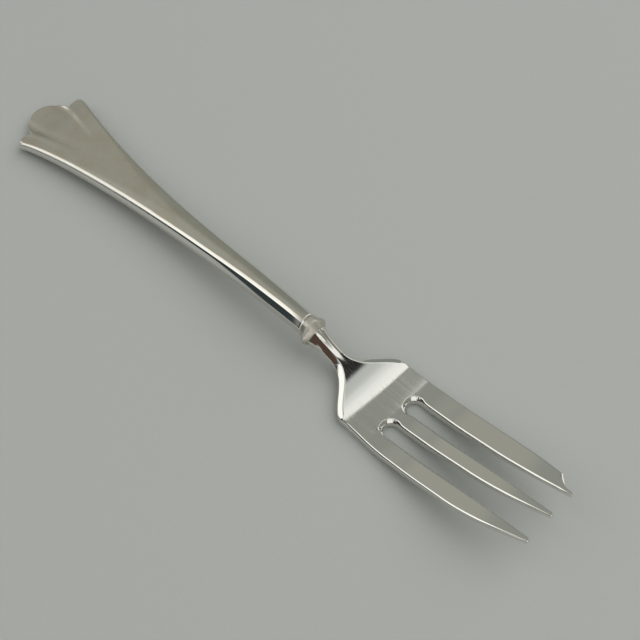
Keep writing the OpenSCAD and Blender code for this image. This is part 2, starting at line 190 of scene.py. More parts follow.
# The flutes draw together from the notches and are as wide as a share of the lobe. A shallow
# valley runs on the inner side of each, with its depth and place in units of the flute
FLUTE_CLOSE_SHARE, FLUTE_WIDTH_SHARE = 0.42, 0.08
VALLEY_DEPTH, VALLEY_PLACE = 1.1, 1.5
# Outline of the fan's end: the middle lobe, and the small lobe of each corner
LOBE_POWER = 0.6
CORNER_BULGE, CORNER_BULGE_POWER = 0.12, 4
CORNER_DROP, CORNER_DROP_POWER = 0.17, 10
# Drop from the top edge to the widest line, as a share of the thickness: fan, mouth, ears,
# neck and bowl
FAN_SEAM_SHARE, SEAM_SHARE, EAR_DROP_SHARE, NECK_RIM_SHARE, RIM_SHARE = 0.5, 0.44, 0.55, 0.45, 0.22
# Share of the collar in which that drop changes to that of the ears
EAR_RUN_SHARE = 0.6
# Half width of the top at the collar's front face, as a share of the one at the mouth
CREST_SHARE = 0.8
# The collar's brow: its place in the collar, where the fall behind it meets the neck, the
# slope before it, and the width in which it turns, in mm
BROW_SHARE, JOIN_SHARE = 0.47, 0.35
BROW_FALL, BROW_SOFTNESS = 0.05, 0.1
# Half the width of the softer bend over the fan's land, in mm, the share of the handle in
# which it ends, and the heights whose mean makes it
FAN_BEND, FAN_BEND_SHARE, BEND_SAMPLES = 3.0, 0.1, 13
# Tuck of the underside inside the seam, as a share of the swell
TUCK_SHARE = 0.15
# Width of the underside of the neck, as a share of the width at its rim
NECK_FOOT_SHARE = 0.6
# Shares of neck and shoulders in which the underside narrows and widens again
FOOT_NARROW_SHARE, FOOT_WIDEN_SHARE = 0.75, 0.8
# How much of the swell is gone at the fan
SWELL_LOSS_SHARE = 0.92
# The cove in which the neck widens to the collar: a share of the neck, and its power
COVE_SHARE, COVE_POWER = 0.7, 2.2
# Share of the shoulders in which the neck's crown fades out
CROWN_SHARE = 0.4
# The shoulders: how much longer an edge that starts late runs, the powers of the late edge
# and the rim, and the last share of the width, which the bowl adds over its own length
LATE_RUN_SHARE = 0.2
TOP_EDGE_POWER, RIM_POWER = 1.2, 1.3
BOWL_WIDEN_SHARE, BOWL_WIDEN_RUN = 0.05, 1.7
# Where each tine has its tip, as a share of its width from its side nearest -Y
SIDE_TIP_SHARE, MIDDLE_TIP_SHARE, CUTTING_TIP_SHARE = 0.93, 0.9, 0.36
# How far the middle and the cutting tine narrow before the taper, as shares of their widths,
# and the share of it on the middle tine's far side
MIDDLE_NARROW_SHARE, CUTTING_NARROW_SHARE = 0.14, 0.2
FAR_NARROW_SHARE = 0.25
# Powers of the tines' tapers, of the cutting tine's back and of its notch
SIDE_TAPER_POWER, TAPER_POWER, BACK_POWER, NICK_POWER = 1.8, 2, 3, 2.4
# Height of the tang's middle in the mouth, as a share of the thickness there
TANG_HEIGHT_SHARE = 0.52
# Share of the neck in which the step down from the collar's lip runs out
LIP_RUN_SHARE = 0.3


def smooth(u):
    u = np.clip(u, 0, 1)
    return u * u * (3 - 2 * u)


def mix(a, b, u):
    return a + (b - a) * u


def soft_max(a, b, width):
    """The larger of two values, turned over smoothly in a width."""
    return (a + b + np.sqrt((a - b) ** 2 + width ** 2)) / 2


def soft_clip(u, width):
    """Limits a share to between 0 and 1, with both bends rounded off."""
    return -soft_max(-soft_max(u, 0.0, width), -1.0, width)


def curve(knots, x):
    """A smooth curve through knots (place, value) that never swings past a knot."""
    place, value = np.array(knots, float).T
    step = np.diff(place)
    slope = np.diff(value) / step
    both = slope[:-1] + slope[1:]
    turn = slope[:-1] * slope[1:]
    inner = np.where(turn > 0, 2 * turn / np.where(both == 0, 1, both), 0)
    tilt = np.concatenate([slope[:1], inner, slope[-1:]])
    i = np.clip(np.searchsorted(place, x, side="right") - 1, 0, len(step) - 1)
    u = np.clip((x - place[i]) / step[i], 0, 1)
    v = 1 - u
    return (value[i] * (1 + 2 * u) * v * v + value[i + 1] * u * u * (3 - 2 * u)
            + step[i] * (tilt[i] * u * v * v - tilt[i + 1] * u * u * v))


class Fork:
    """Heights and half widths along the fork, in metres, from the sizes in the panel."""

    def __init__(self):
        scene = bpy.context.scene
        for group in (scene.fork_handle, scene.fork_head):
            for name in type(group).__annotations__:
                setattr(self, name, float(getattr(group, name)))
        self.fan_width = self.head_width - 2 * self.fan_inset
        whole = (self.handle_length + self.collar_length + self.neck_length
                 + self.shoulder_length + self.bowl_length + self.tine_length)
        self.x_fan = -whole / 2
        self.x_corner = self.x_fan + self.lobe_depth
        self.x_panel = self.x_corner + self.panel_length
        self.x_mouth = self.x_fan + self.handle_length
        self.x_collar = self.x_mouth + self.collar_length
        self.x_neck = self.x_collar + self.neck_length
        self.x_shoulder = self.x_neck + self.shoulder_length
        self.x_root = self.x_shoulder + self.bowl_length
        self.x_tip = self.x_root + self.tine_length
        self.x_heel = (self.x_shoulder + PLATE_START * self.bowl_length
                       + HEEL_START * self.heel_length)
        x_lift = self.x_heel + self.heel_length
        self.rest_knots = (
            [(self.x_fan, 0), (self.x_fan + self.fan_land, 0)]
            + [(self.x_fan + a * self.handle_length, b * self.arch_height)
               for a, b in HANDLE_RISE_SHARES]
            + [(mix(self.x_mouth, self.x_heel, a), b * self.arch_height)
               for a, b in NECK_FALL_SHARES]
            + [(x_lift, 0)]
            + [(mix(x_lift, self.x_tip, a), b * self.tip_lift) for a, b in TINE_RISE_SHARES])
        middle = mix(self.fan_thickness, self.mouth_thickness, PANEL_THICKNESS_SHARE)
        self.thick_knots = [
            (self.x_fan, self.fan_thickness),
            (self.x_corner + PANEL_STATION * self.panel_length,
             mix(self.fan_thickness, middle, PANEL_STATION_SHARE)),
            (self.x_panel, middle), (self.x_mouth, self.mouth_thickness),
            (self.x_neck, self.neck_thickness),
            (self.x_shoulder, SHOULDER_THICKNESS_SHARE * self.bowl_thickness),
            (self.x_root, self.bowl_thickness),
            (self.x_root + TINE_STATION * self.tine_length,
             mix(self.bowl_thickness, self.tip_thickness, TINE_STATION_SHARE)),
            (self.x_tip, self.tip_thickness)]
        self.side_y = -self.head_width / 2 + self.side_tine_width
        self.middle_y = self.side_y + self.slot_width
        self.middle_far_y = self.middle_y + self.middle_tine_width
        self.cutting_y = self.middle_far_y + self.slot_width
        self.cutting_width = self.head_width / 2 - self.cutting_y
        self.nick_x = self.x_tip - self.nick_length
        self.slot_centre = self.x_root + self.slot_width / 2
        # On the collar the top runs on almost level to a brow, and falls straight from there
        self.x_brow = self.x_mouth + BROW_SHARE * self.collar_length
        self.x_join = self.x_collar + JOIN_SHARE * self.neck_length
        ends = np.array([self.x_mouth, self.x_join])
        high, low = self.under(ends) + self.thick(ends)
        self.brow = [(self.x_mouth, high),
                     (self.x_brow, high - BROW_FALL * (self.x_brow - self.x_mouth)),
                     (self.x_join, low)]
        self.crest_half = CREST_SHARE * self.mouth_width / 2

    def under(self, x):
        return curve(self.rest_knots, x)

    def thick(self, x):
        return curve(self.thick_knots, x)

    def top(self, x):
        """Height of the top on the middle line, without crown, flutes and facets."""
        on_brow = (x > self.x_mouth) & (x < self.x_join)
        (a, high), (b, brow), (c, low) = self.brow
        level = high + (x - a) * (brow - high) / (b - a)
        fall = brow + (x - b) * (low - brow) / (c - b)
        # Over the fan's land the front is pressed in a softer bend than the underside
        reach = FAN_BEND_SHARE * self.handle_length
        soft = FAN_BEND * MM * (1 - smooth((x - self.x_corner) / reach))
        shifts = np.linspace(-1, 1, BEND_SAMPLES)
        rise = np.mean([self.under(x + k * soft) for k in shifts], axis=0)
        turned = -soft_max(-level, -fall, BROW_SOFTNESS * MM)
        return np.where(on_brow, turned, rise + self.thick(x))

    def flare(self, x):
        return np.clip((self.x_mouth - x) / (self.x_mouth - self.x_corner), 0, 1)

    def seam_drop(self, x):
        """How far the widest line lies under the top edge."""
        collar = mix(SEAM_SHARE, EAR_DROP_SHARE,
                     smooth((x - self.x_mouth) / (EAR_RUN_SHARE * self.collar_length)))
        neck = mix(EAR_DROP_SHARE, NECK_RIM_SHARE, smooth((x - self.x_collar) / self.neck_length))
        bowl = mix(neck, RIM_SHARE, smooth((x - self.x_neck) / self.shoulder_length))
        part = np.where(x < self.x_mouth, mix(SEAM_SHARE, FAN_SEAM_SHARE, self.flare(x)),
                        np.where(x < self.x_collar, collar, bowl))
        return part * self.thick(x)

    def half_at(self, flare):
        """Half width of the handle's top at a share of its flare."""
        return mix(self.mouth_width / 2, self.fan_width / 2,
                   FLARE_SHARE * flare + (1 - FLARE_SHARE) * flare ** FLARE_POWER)

    def handle_half(self, x):
        return self.half_at(self.flare(x))

    def swell(self, x):
        return self.side_swell * (1 - SWELL_LOSS_SHARE * smooth(self.flare(x)))

    def handle_top(self, x, y):
        """Height of the handle's top: a flat panel, two facets and the flutes."""
        run = soft_clip((x - self.x_corner) / self.flute_length, FLUTE_END_SOFTNESS)
        line = mix(1, FLUTE_CLOSE_SHARE, run) * self.lobe_width / 2
        d = (np.abs(y) - line) / (FLUTE_WIDTH_SHARE * self.lobe_width)
        valley = VALLEY_DEPTH * np.exp(-(d + VALLEY_PLACE) ** 2 / 2)
        flute = self.flute_height * (1 - run) * (np.exp(-d * d) - valley)
        way = soft_clip((self.x_panel - x) / self.panel_length, PANEL_END_SOFTNESS)
        panel = (self.fan_width / 2 - PANEL_INSET_SHARE * self.side_swell) * way ** PANEL_POWER
        # Where the panel has run out, the facets meet in a crease
        out = soft_max(np.sqrt(y * y + (self.crease_softness / 3) ** 2), panel,
                       mix(self.crease_softness, PANEL_SOFTNESS * MM, np.clip(panel / MM, 0, 1)))
        flare = soft_clip((self.x_mouth - x) / (self.x_mouth - self.x_corner), PANEL_END_SOFTNESS)
        return self.top(x) + flute + FACET_SLOPE * (self.half_at(flare) - out)

    def fan_end(self, q):
        """Where the fan ends at a share of its half width."""
        ratio = self.fan_width / self.lobe_width
        v = np.abs(q) * ratio
        w = np.clip((v - 1) / (ratio - 1), 0, 1)
        lobe = self.lobe_depth * np.clip(1 - v * v, 0, 1) ** LOBE_POWER
        corner = self.lobe_depth * (CORNER_BULGE * (1 - (2 * w - 1) ** CORNER_BULGE_POWER)
                                    - CORNER_DROP * w ** CORNER_DROP_POWER)
        return self.x_corner - np.where(v < 1, lobe, corner)

    def cove(self, x):
        """How much of the cove is left, from 1 at the collar to 0 in the neck."""
        u = np.clip((x - self.x_collar) / (COVE_SHARE * self.neck_length), 0, 1)
        return (1 - u) ** COVE_POWER

    def head_half(self, x, narrow, late):
        """Half width of an edge that widens from the neck's, some way behind the rim if late."""
        reach = self.shoulder_length + LATE_RUN_SHARE * late
        u = np.clip((x - self.x_neck - late) / reach, 0, 1)
        v = smooth((x - self.x_shoulder) / (BOWL_WIDEN_RUN * self.bowl_length))
        widen = ((1 - BOWL_WIDEN_SHARE) * smooth(u ** (TOP_EDGE_POWER if late > 0 else RIM_POWER))
                 + BOWL_WIDEN_SHARE * v)
        return narrow / 2 + (self.head_width - narrow) / 2 * widen

    def top_half(self, x):
        """Half width between the top edges, from the mouth to the tines."""
        collar = mix(self.mouth_width / 2, self.crest_half,
                     smooth((x - self.x_mouth) / self.collar_length))
        neck = (self.head_half(x, self.neck_top_width, self.shoulder_bevel)
                + (self.crest_half - self.neck_top_width / 2) * self.cove(x))
        return np.where(x < self.x_collar, collar, neck)

    def rim_half(self, x):
        """Half width at the widest line, from the mouth to the tines."""
        ear = mix(self.mouth_width / 2 + self.side_swell, self.ear_width / 2,
                  curve(EAR_SHARES, (x - self.x_mouth) / self.collar_length))
        neck = (self.head_half(x, self.neck_width, 0)
                + (self.root_width - self.neck_width) / 2 * self.cove(x))
        return np.where(x < self.x_collar, ear, neck)

    def foot_share(self, x):
        """Half width of the underside, as a share of the half width at the rim."""
        mouth = 1 - TUCK_SHARE * self.side_swell / (self.mouth_width / 2 + self.side_swell)
        neck = mix(mouth, NECK_FOOT_SHARE,
                   smooth((x - self.x_collar) / (FOOT_NARROW_SHARE * self.neck_length)))
        return mix(neck, 1, smooth((x - self.x_neck) / (FOOT_WIDEN_SHARE * self.shoulder_length)))

    def crown(self, x):
        """Height of the crown that the facets leave on collar and neck."""
        reach = self.neck_length + CROWN_SHARE * self.shoulder_length
        return FACET_SLOPE * self.mouth_width / 2 * (1 - smooth((x - self.x_collar) / reach))

    def lip(self, x):
        """How far the neck lies under the collar's lip."""
        run = (x - self.x_collar) / (LIP_RUN_SHARE * self.neck_length)
        return self.lip_height * (1 - smooth(run))

    def tine_edges(self, tine, x):
        """The two edges of a tine in plan, the one nearest -Y first."""
        taper = np.clip((x - self.x_tip + self.taper_length) / self.taper_length, 0, 1)
        run = np.clip((x - self.x_root) / self.tine_length, 0, 1)
        outer = self.head_half(x, self.neck_width, 0)
        if tine == "side":
            tip = -self.head_width / 2 + SIDE_TIP_SHARE * self.side_tine_width - self.tip_width
            return mix(-outer, tip, taper ** SIDE_TAPER_POWER), np.full_like(x, self.side_y)
        narrow = MIDDLE_NARROW_SHARE * self.middle_tine_width * run
        if tine == "middle":
            tip = self.middle_y + MIDDLE_TIP_SHARE * self.middle_tine_width - self.tip_width
            return (mix(self.middle_y + narrow, tip, taper ** TAPER_POWER),
                    self.middle_far_y - FAR_NARROW_SHARE * narrow)
        tip = self.cutting_y + CUTTING_TIP_SHARE * self.cutting_width - self.tip_width / 2
        loss = CUTTING_NARROW_SHARE * self.cutting_width
        back = outer - loss * run ** BACK_POWER
        at = (self.nick_x - self.x_root) / self.tine_length
        corner = self.head_width / 2 - loss * at ** BACK_POWER
        u = np.clip((x - self.nick_x) / self.nick_length, 0, 1)
        nick = mix(corner, tip + self.tip_width, 1 - (1 - u) ** NICK_POWER)
        return (mix(self.cutting_y, tip, taper ** TAPER_POWER),
                np.where(x > self.nick_x, nick, back))


def resampled(points, count, power=1.0):
    """Points along a line at even steps, or closer together at its end."""
    run = np.concatenate([[0], np.cumsum(np.linalg.norm(np.diff(points, axis=0), axis=1))])
    u = 1 - (1 - np.linspace(0, 1, count)) ** power
    return np.stack([np.interp(u * run[-1], run, points[:, k]) for k in (0, 1)], axis=1)


def outward(points):
    """Unit normals of a line in plan that runs with the piece on its left."""
    along = np.gradient(points, axis=0)
    normal = np.stack([along[:, 1], -along[:, 0]], axis=1)
    return normal / np.linalg.norm(normal, axis=1, keepdims=True)


# Steps of each rounding, and how much of a line it may take up: one whose ends are both
# rounded as widely, and one whose other end is rounded less
ARC_STEPS = 6
ARC_SHARE, WIDE_ARC_SHARE = 0.46, 0.85


def rounded(corners, reaches, most):
    """Polylines side by side, each inner corner turned over in an arc of a given reach.

    A reach takes up at most a share of the lines that meet in its corner.
    """
    corners = [np.stack(np.broadcast_arrays(*c), axis=-1) for c in corners]
    rows = [corners[0]]
    for before, here, after, reach in zip(corners, corners[1:], corners[2:], reaches):
        back, on = before - here, after - here
        back_length = np.linalg.norm(back, axis=-1, keepdims=True) + 1e-12
        on_length = np.linalg.norm(on, axis=-1, keepdims=True) + 1e-12
        back, on = back / back_length, on / on_length
        reach = np.asarray(reach, float) * np.ones(len(here))
        reach = np.minimum(reach[:, None], most * np.minimum(back_length, on_length))
        bend = np.clip(-(back * on).sum(-1, keepdims=True), -1, 1)
        weight = np.sqrt((1 + bend) / 2)
        for t in np.linspace(0, 1, ARC_STEPS):
            a, b, c = (1 - t) ** 2, 2 * weight * t * (1 - t), t * t
            arc = a * (here + reach * back) + b * here + c * (here + reach * on)
            rows.append(arc / (a + b + c))
    return np.array(rows + [corners[-1]])


def coons(near, far, start, end, late=0.0):
    """A grid between two sides and two ends in plan. Sides run along it and ends across it.

    The bends of each end fade along the grid, and narrow where the grid is narrower. Those of
    the second end begin only after a share of the way.
    """
    v = np.linspace(0, 1, len(near))[:, None, None]
    u = np.linspace(0, 1, len(start))[None, :, None]
    width = np.linalg.norm(far - near, axis=1)[:, None, None]
    grid = (1 - u) * near[:, None] + u * far[:, None]
    for line, row, fade in ((start, 0, 1 - v), (end, -1, np.clip((v - late) / (1 - late), 0, 1))):
        bend = line - ((1 - u) * near[row] + u * far[row])
        grid = grid + fade * np.minimum(width / width[row], 1) * bend
    return grid


def quads(grid):
    """The four corners of each cell in a grid of vertex numbers."""
    corners = [grid[:-1, :-1], grid[:-1, 1:], grid[1:, 1:], grid[1:, :-1]]
    return np.stack(corners, -1).reshape(-1, 4).tolist()


def banded(outline, normal, rings, loop, count):
    """The vertices of rings round an outline, and their numbers, which begin with the loop's."""
    places = [np.column_stack([outline + ring[:, :1] * normal, ring[:, 1]]) for ring in rings]
    steps = np.arange(len(loop))
    return places, [loop] + [count + k * len(loop) + steps for k in range(len(places))]


# Edges that turn by more than this stay sharp
SHARP_DEGREES = 50
# Points closer than this are one, in metres
MERGE_DISTANCE = 1e-7
# Step in which a slope is measured, and how near a point on the face lies to it, in mm
SLOPE_STEP, FACE_NEARNESS = 0.001, 0.0001


def exact_normals(vertices, heights):
    """Normals of the vertices that lie on a face of given height over x and y, and zero elsewhere.

    Each height comes with 1 for a face that looks up, or -1 for one that looks down.
    """
    x, y, z = vertices.T
    step = SLOPE_STEP * MM
    normals = np.zeros_like(vertices)
    for height, looks in heights:
        slope_x = (height(x + step, y) - height(x - step, y)) / (2 * step)
        slope_y = (height(x, y + step) - height(x, y - step)) / (2 * step)
        there = np.abs(height(x, y) - z) < FACE_NEARNESS * MM
        normals[there] = looks * np.stack([-slope_x, -slope_y, np.ones_like(x)], axis=1)[there]
    return normals / np.maximum(np.linalg.norm(normals, axis=1, keepdims=True), 1e-9)


def make_piece(name, vertices, faces, material, node, heights=()):
    """Adds a closed smooth piece with the given material, which stands for a solid and hides it.
    """
    mesh = bpy.data.meshes.new(name)
    # Rounded forms end a hair inside the solids' own box
    mesh.from_pydata(np.clip(vertices, *CAD_BOX).tolist(), [], faces)
    work = bmesh.new()
    work.from_mesh(mesh)
    bmesh.ops.remove_doubles(work, verts=work.verts, dist=MERGE_DISTANCE)
    bmesh.ops.recalc_face_normals(work, faces=work.faces)
    open_edges = sum(1 for e in work.edges if len(e.link_faces) != 2)
    work.to_mesh(mesh)
    work.free()
    if open_edges:
        raise RuntimeError(f"{name} has {open_edges} open edges")
    mesh.shade_smooth()
    mesh.set_sharp_from_angle(angle=math.radians(SHARP_DEGREES))
    places = np.empty(3 * len(mesh.vertices))
    mesh.vertices.foreach_get("co", places)
    mesh.normals_split_custom_set_from_vertices(exact_normals(places.reshape(-1, 3), heights))
    mesh.materials.append(material)
    piece = bpy.data.objects.new(name, mesh)
    bpy.context.scene.collection.objects.link(piece)
    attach(piece, "root")
    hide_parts(node)
    return piece


# Points in which each stretch of the handle's edge is worked out first, rows along the
# handle, and columns across a corner's lobe and half the middle one
EDGE_POINTS = 3000
HANDLE_ROWS = 190
LOBE_COLUMNS = 22
FAN_COLUMNS = 36
# How much closer the rows lie at the fan, and where along the handle its end's bends begin
ROW_POWER, FAN_LATE = 1.35, 0.8
# Rows at the mouth in which the flanks' directions turn into its plane
MOUTH_ROWS = 4
# Width beside the fan's corners in which its end takes over from the flanks, in mm
CORNER_FADE = 1.5
# The flank's section: how far it runs straight at the seam, as a share of the drop, and how
# much of the swell it keeps there
STRAIGHT_SHARE, SEAM_SWELL_SHARE = 0.1, 0.9
# How far the front's inner top edge moves in, as a share of the wall
INNER_EDGE_SHARE = 0.7
# Roundings against that of the flanks at the mouth: at the fan, at its end and inside
FAN_ROUNDING, END_ROUNDING, INNER_ROUNDING = 1.6, 0.3, 0.6


def handle_outline(fork):
    """The handle's top edge in plan: a side from the mouth, the fan's end and the other side."""
    u = np.linspace(0, 1, EDGE_POINTS)
    x = mix(fork.x_mouth, fork.fan_end(1.0), u)
    side = np.stack([x, fork.handle_half(x)], axis=1)
    notch = fork.lobe_width / fork.fan_width
    turns = []
    for a, b in ((1.0, notch), (notch, 0.0)):
        # Steps close up at both ends of each lobe, where its outline is steep
        q = mix(a, b, (1 - np.cos(np.pi * u)) / 2)
        x = fork.fan_end(q)
        turns.append(np.stack([x, q * fork.handle_half(x)], axis=1))
    corner, lobe = turns
    across = -np.gradient(corner, axis=0)
    split = int(np.argmax(np.abs(across[:, 1]) > np.abs(across[:, 0])))
    side = np.concatenate([side, corner[1:split + 1]])
    side = resampled(side, HANDLE_ROWS, ROW_POWER)
    end = np.concatenate([resampled(corner[split:], LOBE_COLUMNS),
                          resampled(lobe, FAN_COLUMNS)[1:]])
    mirror = np.array([1.0, -1.0])
    far_end = end[::-1][1:]
    return side * mirror, np.concatenate([end * mirror, far_end]), side


def handle_skin(fork, front, wall):
    """One skin of a shell: its vertices, and the numbers of its grid and its rings to the seam."""
    near, end, far = handle_outline(fork)
    outline = np.concatenate([near, end[1:-1], far[::-1]])
    # The outline runs with the handle on its right
    normal = -outward(outline)
    fade = np.linspace(0, 1, MOUTH_ROWS)
    normal[:MOUTH_ROWS, 0] *= fade
    normal[-MOUTH_ROWS:, 0] *= fade[::-1]
    x = outline[:, 0]
    # The end's own notches stay crisp: only the flanks swell and turn over broadly
    inside = fork.fan_width / 2 - np.abs(outline[:, 1])
    beside = np.where(x > fork.x_corner + MM, 1, smooth(1 - inside / (CORNER_FADE * MM)))
    across = np.abs(normal[:, 1]) * beside
    swell = fork.swell(x) * across ** 2
    drop = fork.seam_drop(x)
    seam = fork.top(x) - drop
    straight = STRAIGHT_SHARE * drop
    widest = swell * SEAM_SWELL_SHARE - wall
    reach = (fork.edge_rounding * mix(1, FAN_ROUNDING, fork.flare(x))
             * mix(END_ROUNDING, 1, across) * (INNER_ROUNDING if wall else 1.0))
    if front:
        edge = -INNER_EDGE_SHARE * wall * np.ones_like(x)
    else:
        edge = swell * (1 - TUCK_SHARE) - wall
    inner = edge - reach
    start = outline + inner[:, None] * normal
    corner = outline + edge[:, None] * normal

    def height(x, y):
        return fork.handle_top(x, y) - wall if front else fork.under(x) + wall

    turn = seam + straight if front else seam - straight
    rings = rounded(
        [(inner, height(*start.T)), (edge, height(*corner.T)), (widest, turn), (widest, seam)],
        [reach, straight], WIDE_ARC_SHARE)[1:]
    rows, cols = len(near), len(end)
    grid = coons(start[:rows], start[::-1][:rows],
                 mix(start[0], start[-1], np.linspace(0, 1, cols)[:, None]),
                 start[rows - 1:rows - 1 + cols], FAN_LATE)
    flat = np.dstack([grid, height(grid[..., 0], grid[..., 1])]).reshape(-1, 3)
    ids = np.arange(rows * cols).reshape(rows, cols)
    loop = np.concatenate([ids[:, 0], ids[-1, 1:-1], ids[::-1, -1]])
    bands, band_ids = banded(outline, normal, rings, loop, rows * cols)
    return np.concatenate([flat] + bands), ids, np.array(band_ids)


def shell_piece(front, name, node, material):
    """One pressed shell: an outer and an inner skin, joined along the seam and at the mouth."""
    fork = Fork()
    outer, ids, bands = handle_skin(fork, front, 0.0)
    inner, _, _ = handle_skin(fork, front, fork.shell_wall)
    count = len(outer)
    faces = []
    for shift in (0, count):
        faces += quads(ids + shift) + quads(bands + shift)
    faces += quads(np.stack([bands[-1], bands[-1] + count]))
    mouth = np.concatenate([bands[::-1, 0], ids[0, 1:-1], bands[:, -1]])
    faces += quads(np.stack([mouth, mouth + count]))
    heights = [(fork.handle_top, 1)] if front else [(lambda x, y: fork.under(x), -1)]
    return make_piece(name, np.concatenate([outer, inner]), faces, material, node,
                      heights)


# Rows of the collar behind and before its brow, half the gap between them in mm, and its
# columns between the middles of its top's two halves
BROW_ROWS, COLLAR_ROWS = 14, 24
BROW_GAP = 0.01
CREST_COLUMNS = 12
# How far the collar's faces are rounded off at the sides: at the handle and at the neck, in mm
BACK_ROUNDING, FRONT_ROUNDING = 0.02, 0.24
# Its section's roundings in mm: top edges at the front, widest lines and foot
COLLAR_TOP_ROUNDING, COLLAR_SIDE_ROUNDING, COLLAR_FOOT_ROUNDING = 0.3, 0.5, 0.6
# The crown is a tent at the handle, its ridge softened by this, and a plain arch at the neck
RIDGE_SOFTNESS = 0.004
# The collar's lip is sharp on top, where it runs on into the neck, and bows back at its
# sides, by this much in mm. Rings of its own close the front face.
TOP_LIP_SHARE, LIP_BOW = 0.1, 0.9
FACE_RINGS = (0.85, 0.6, 0.3)


def collar_piece(material):
    """The collar: a short barrel with two ears and a lip that curves back at its sides."""
    fork = Fork()
    gap = BROW_GAP * MM
    x = np.concatenate([np.linspace(fork.x_mouth, fork.x_brow - gap, BROW_ROWS),
                        np.linspace(fork.x_brow + gap, fork.x_collar - 1e-9, COLLAR_ROWS)])
    u = (x - fork.x_mouth) / fork.collar_length
    shrink = 0
    for way, size in ((x - fork.x_mouth, BACK_ROUNDING), (fork.x_collar - x, FRONT_ROUNDING)):
        size = size * MM
        near = np.clip(size - way, 0, size)
        shrink = shrink + (size - np.sqrt(size * size - near * near))
    top, under = fork.top(x) - TOP_LIP_SHARE * shrink, fork.under(x) + shrink
    rim = fork.rim_half(x) - shrink
    foot = fork.rim_half(x) * fork.foot_share(x) - shrink
    crest = fork.top_half(x)
    seam = fork.top(x) - fork.seam_drop(x)
    half = [(crest * 0.5, top), (crest, top), (rim, seam), (foot, under), (foot * 0.5, under)]
    edge = mix(fork.edge_rounding, COLLAR_TOP_ROUNDING * MM, smooth(2 * u))
    side = rounded(half, [edge, COLLAR_SIDE_ROUNDING * MM, COLLAR_FOOT_ROUNDING * MM],
                   WIDE_ARC_SHARE)
    shares = np.linspace(-0.5, 0.5, CREST_COLUMNS + 1)[1:-1]
    crest_row = [np.stack([q * crest, top], -1) for q in shares]
    foot_row = [np.stack([q * foot, under], -1) for q in shares[::-1]]
    mirror = np.array([-1.0, 1.0])
    section = np.array(list(side) + foot_row + list(side[::-1] * mirror) + crest_row)
    y, z = section[..., 0], section[..., 1]
    q = np.clip(np.abs(y) / crest, 0, 1)
    tent = mix(1 - np.sqrt(q * q + RIDGE_SOFTNESS), 1 - q * q, u)
    upper = z > (seam + top) / 2
    z = z + np.where(upper, fork.crown(x) * np.clip(tent, 0, 1), 0)
    middle = (fork.top(fork.x_collar) + fork.under(fork.x_collar)) / 2
    rings = [(x, y, z)] + [(x[-1:], s * y[:, -1:], middle + s * (z[:, -1:] - middle))
                           for s in FACE_RINGS]
    x, y, z = (np.concatenate([np.broadcast_to(ring[k], ring[1].shape) for ring in rings], axis=1)
               for k in range(3))
    u = np.clip((x - fork.x_mouth) / fork.collar_length, 0, 1)
    bow = LIP_BOW * MM * (y / (fork.ear_width / 2)) ** 2 * u ** 2
    vertices = np.stack([x - bow, y, z], -1).transpose(1, 0, 2)
    rows, cols = vertices.shape[:2]
    ids = np.arange(rows * cols).reshape(rows, cols)
    faces = quads(np.concatenate([ids, ids[:, :1]], axis=1))
    faces += [ids[0].tolist(), ids[-1][::-1].tolist()]
    return make_piece("collar_barrel", vertices.reshape(-1, 3), faces, material,
                      "shoulder_collar")


# Points in which the bowl's edge is worked out first, rows along the bowl and each tine, and
# columns across each tine and round each slot's root
BOWL_POINTS = 4000
BOWL_ROWS = 96
TINE_ROWS, TINE_ROW_POWER = 66, 1.25
TINE_COLUMNS = {"side": 12, "middle": 12, "cutting": 14}
SLOT_COLUMNS = 24
# Where along the bowl the bends of its end with the slots begin
BOWL_LATE = 0.74
# How far the neck runs on into the collar, as a share of its length
NECK_SINK = 0.5
# Rim: the share of the metal's width that its roundings take and the least they shrink to,
# how far it lies under the top as a share of the thickness, its turn in mm, and how much
# more widely the underside is rounded
RIM_ROOM_SHARE, LEAST_ROUNDING = 0.34, 0.2
RIM_DROP_SHARE, RIM_TURN, FOOT_ROUNDING = 0.17, 0.3, 1.6
# The scoops of the slots' roots: reach and depth in mm, the slot widths in which they run
# out, and the share of that run which lies behind the root's centre
SCOOP_REACH, SCOOP_DEPTH = 0.75, 0.8
SCOOP_RUN, SCOOP_RUN_BEHIND = 0.5, 0.4
# Only what lies this far inside the head's side is a slot, in widths of the side tine
SCOOP_SIDE = 1.1
# How far the tang runs on into the neck, as a share of its length
TANG_SINK = 0.2


def head_lines(fork):
    """The head's outline in plan as named lines, each in the direction of the loop round it."""
    x = np.linspace(fork.x_collar - NECK_SINK * fork.collar_length, fork.slot_centre, BOWL_POINTS)
    half = np.where(x < fork.x_collar, fork.root_width / 2,
                    fork.rim_half(np.maximum(x, fork.x_collar)))
    near = resampled(np.stack([x, fork.lip(x) - half], axis=1), BOWL_ROWS)
    lines = {"bowl": near}
    for tine, columns in TINE_COLUMNS.items():
        ends = [float(e[0]) for e in fork.tine_edges(tine, np.array([fork.x_tip]))]
        round_end = (ends[1] - ends[0]) / 2
        u = np.linspace(0, 1, TINE_ROWS)
        x = mix(fork.slot_centre, fork.x_tip - round_end, 1 - (1 - u) ** TINE_ROW_POWER)
        if tine == "cutting":
            x[int(np.argmin(np.abs(x - fork.nick_x)))] = fork.nick_x
        low, high = fork.tine_edges(tine, x)
        turn = np.linspace(-np.pi / 2, np.pi / 2, columns + 1)
        half = (high[-1] - low[-1]) / 2
        tip = np.stack([x[-1] + round_end * np.cos(turn),
                        (high[-1] + low[-1]) / 2 + half * np.sin(turn)], axis=1)
        lines[tine] = (np.stack([x, low], 1), np.stack([x, high], 1), tip)
    return lines


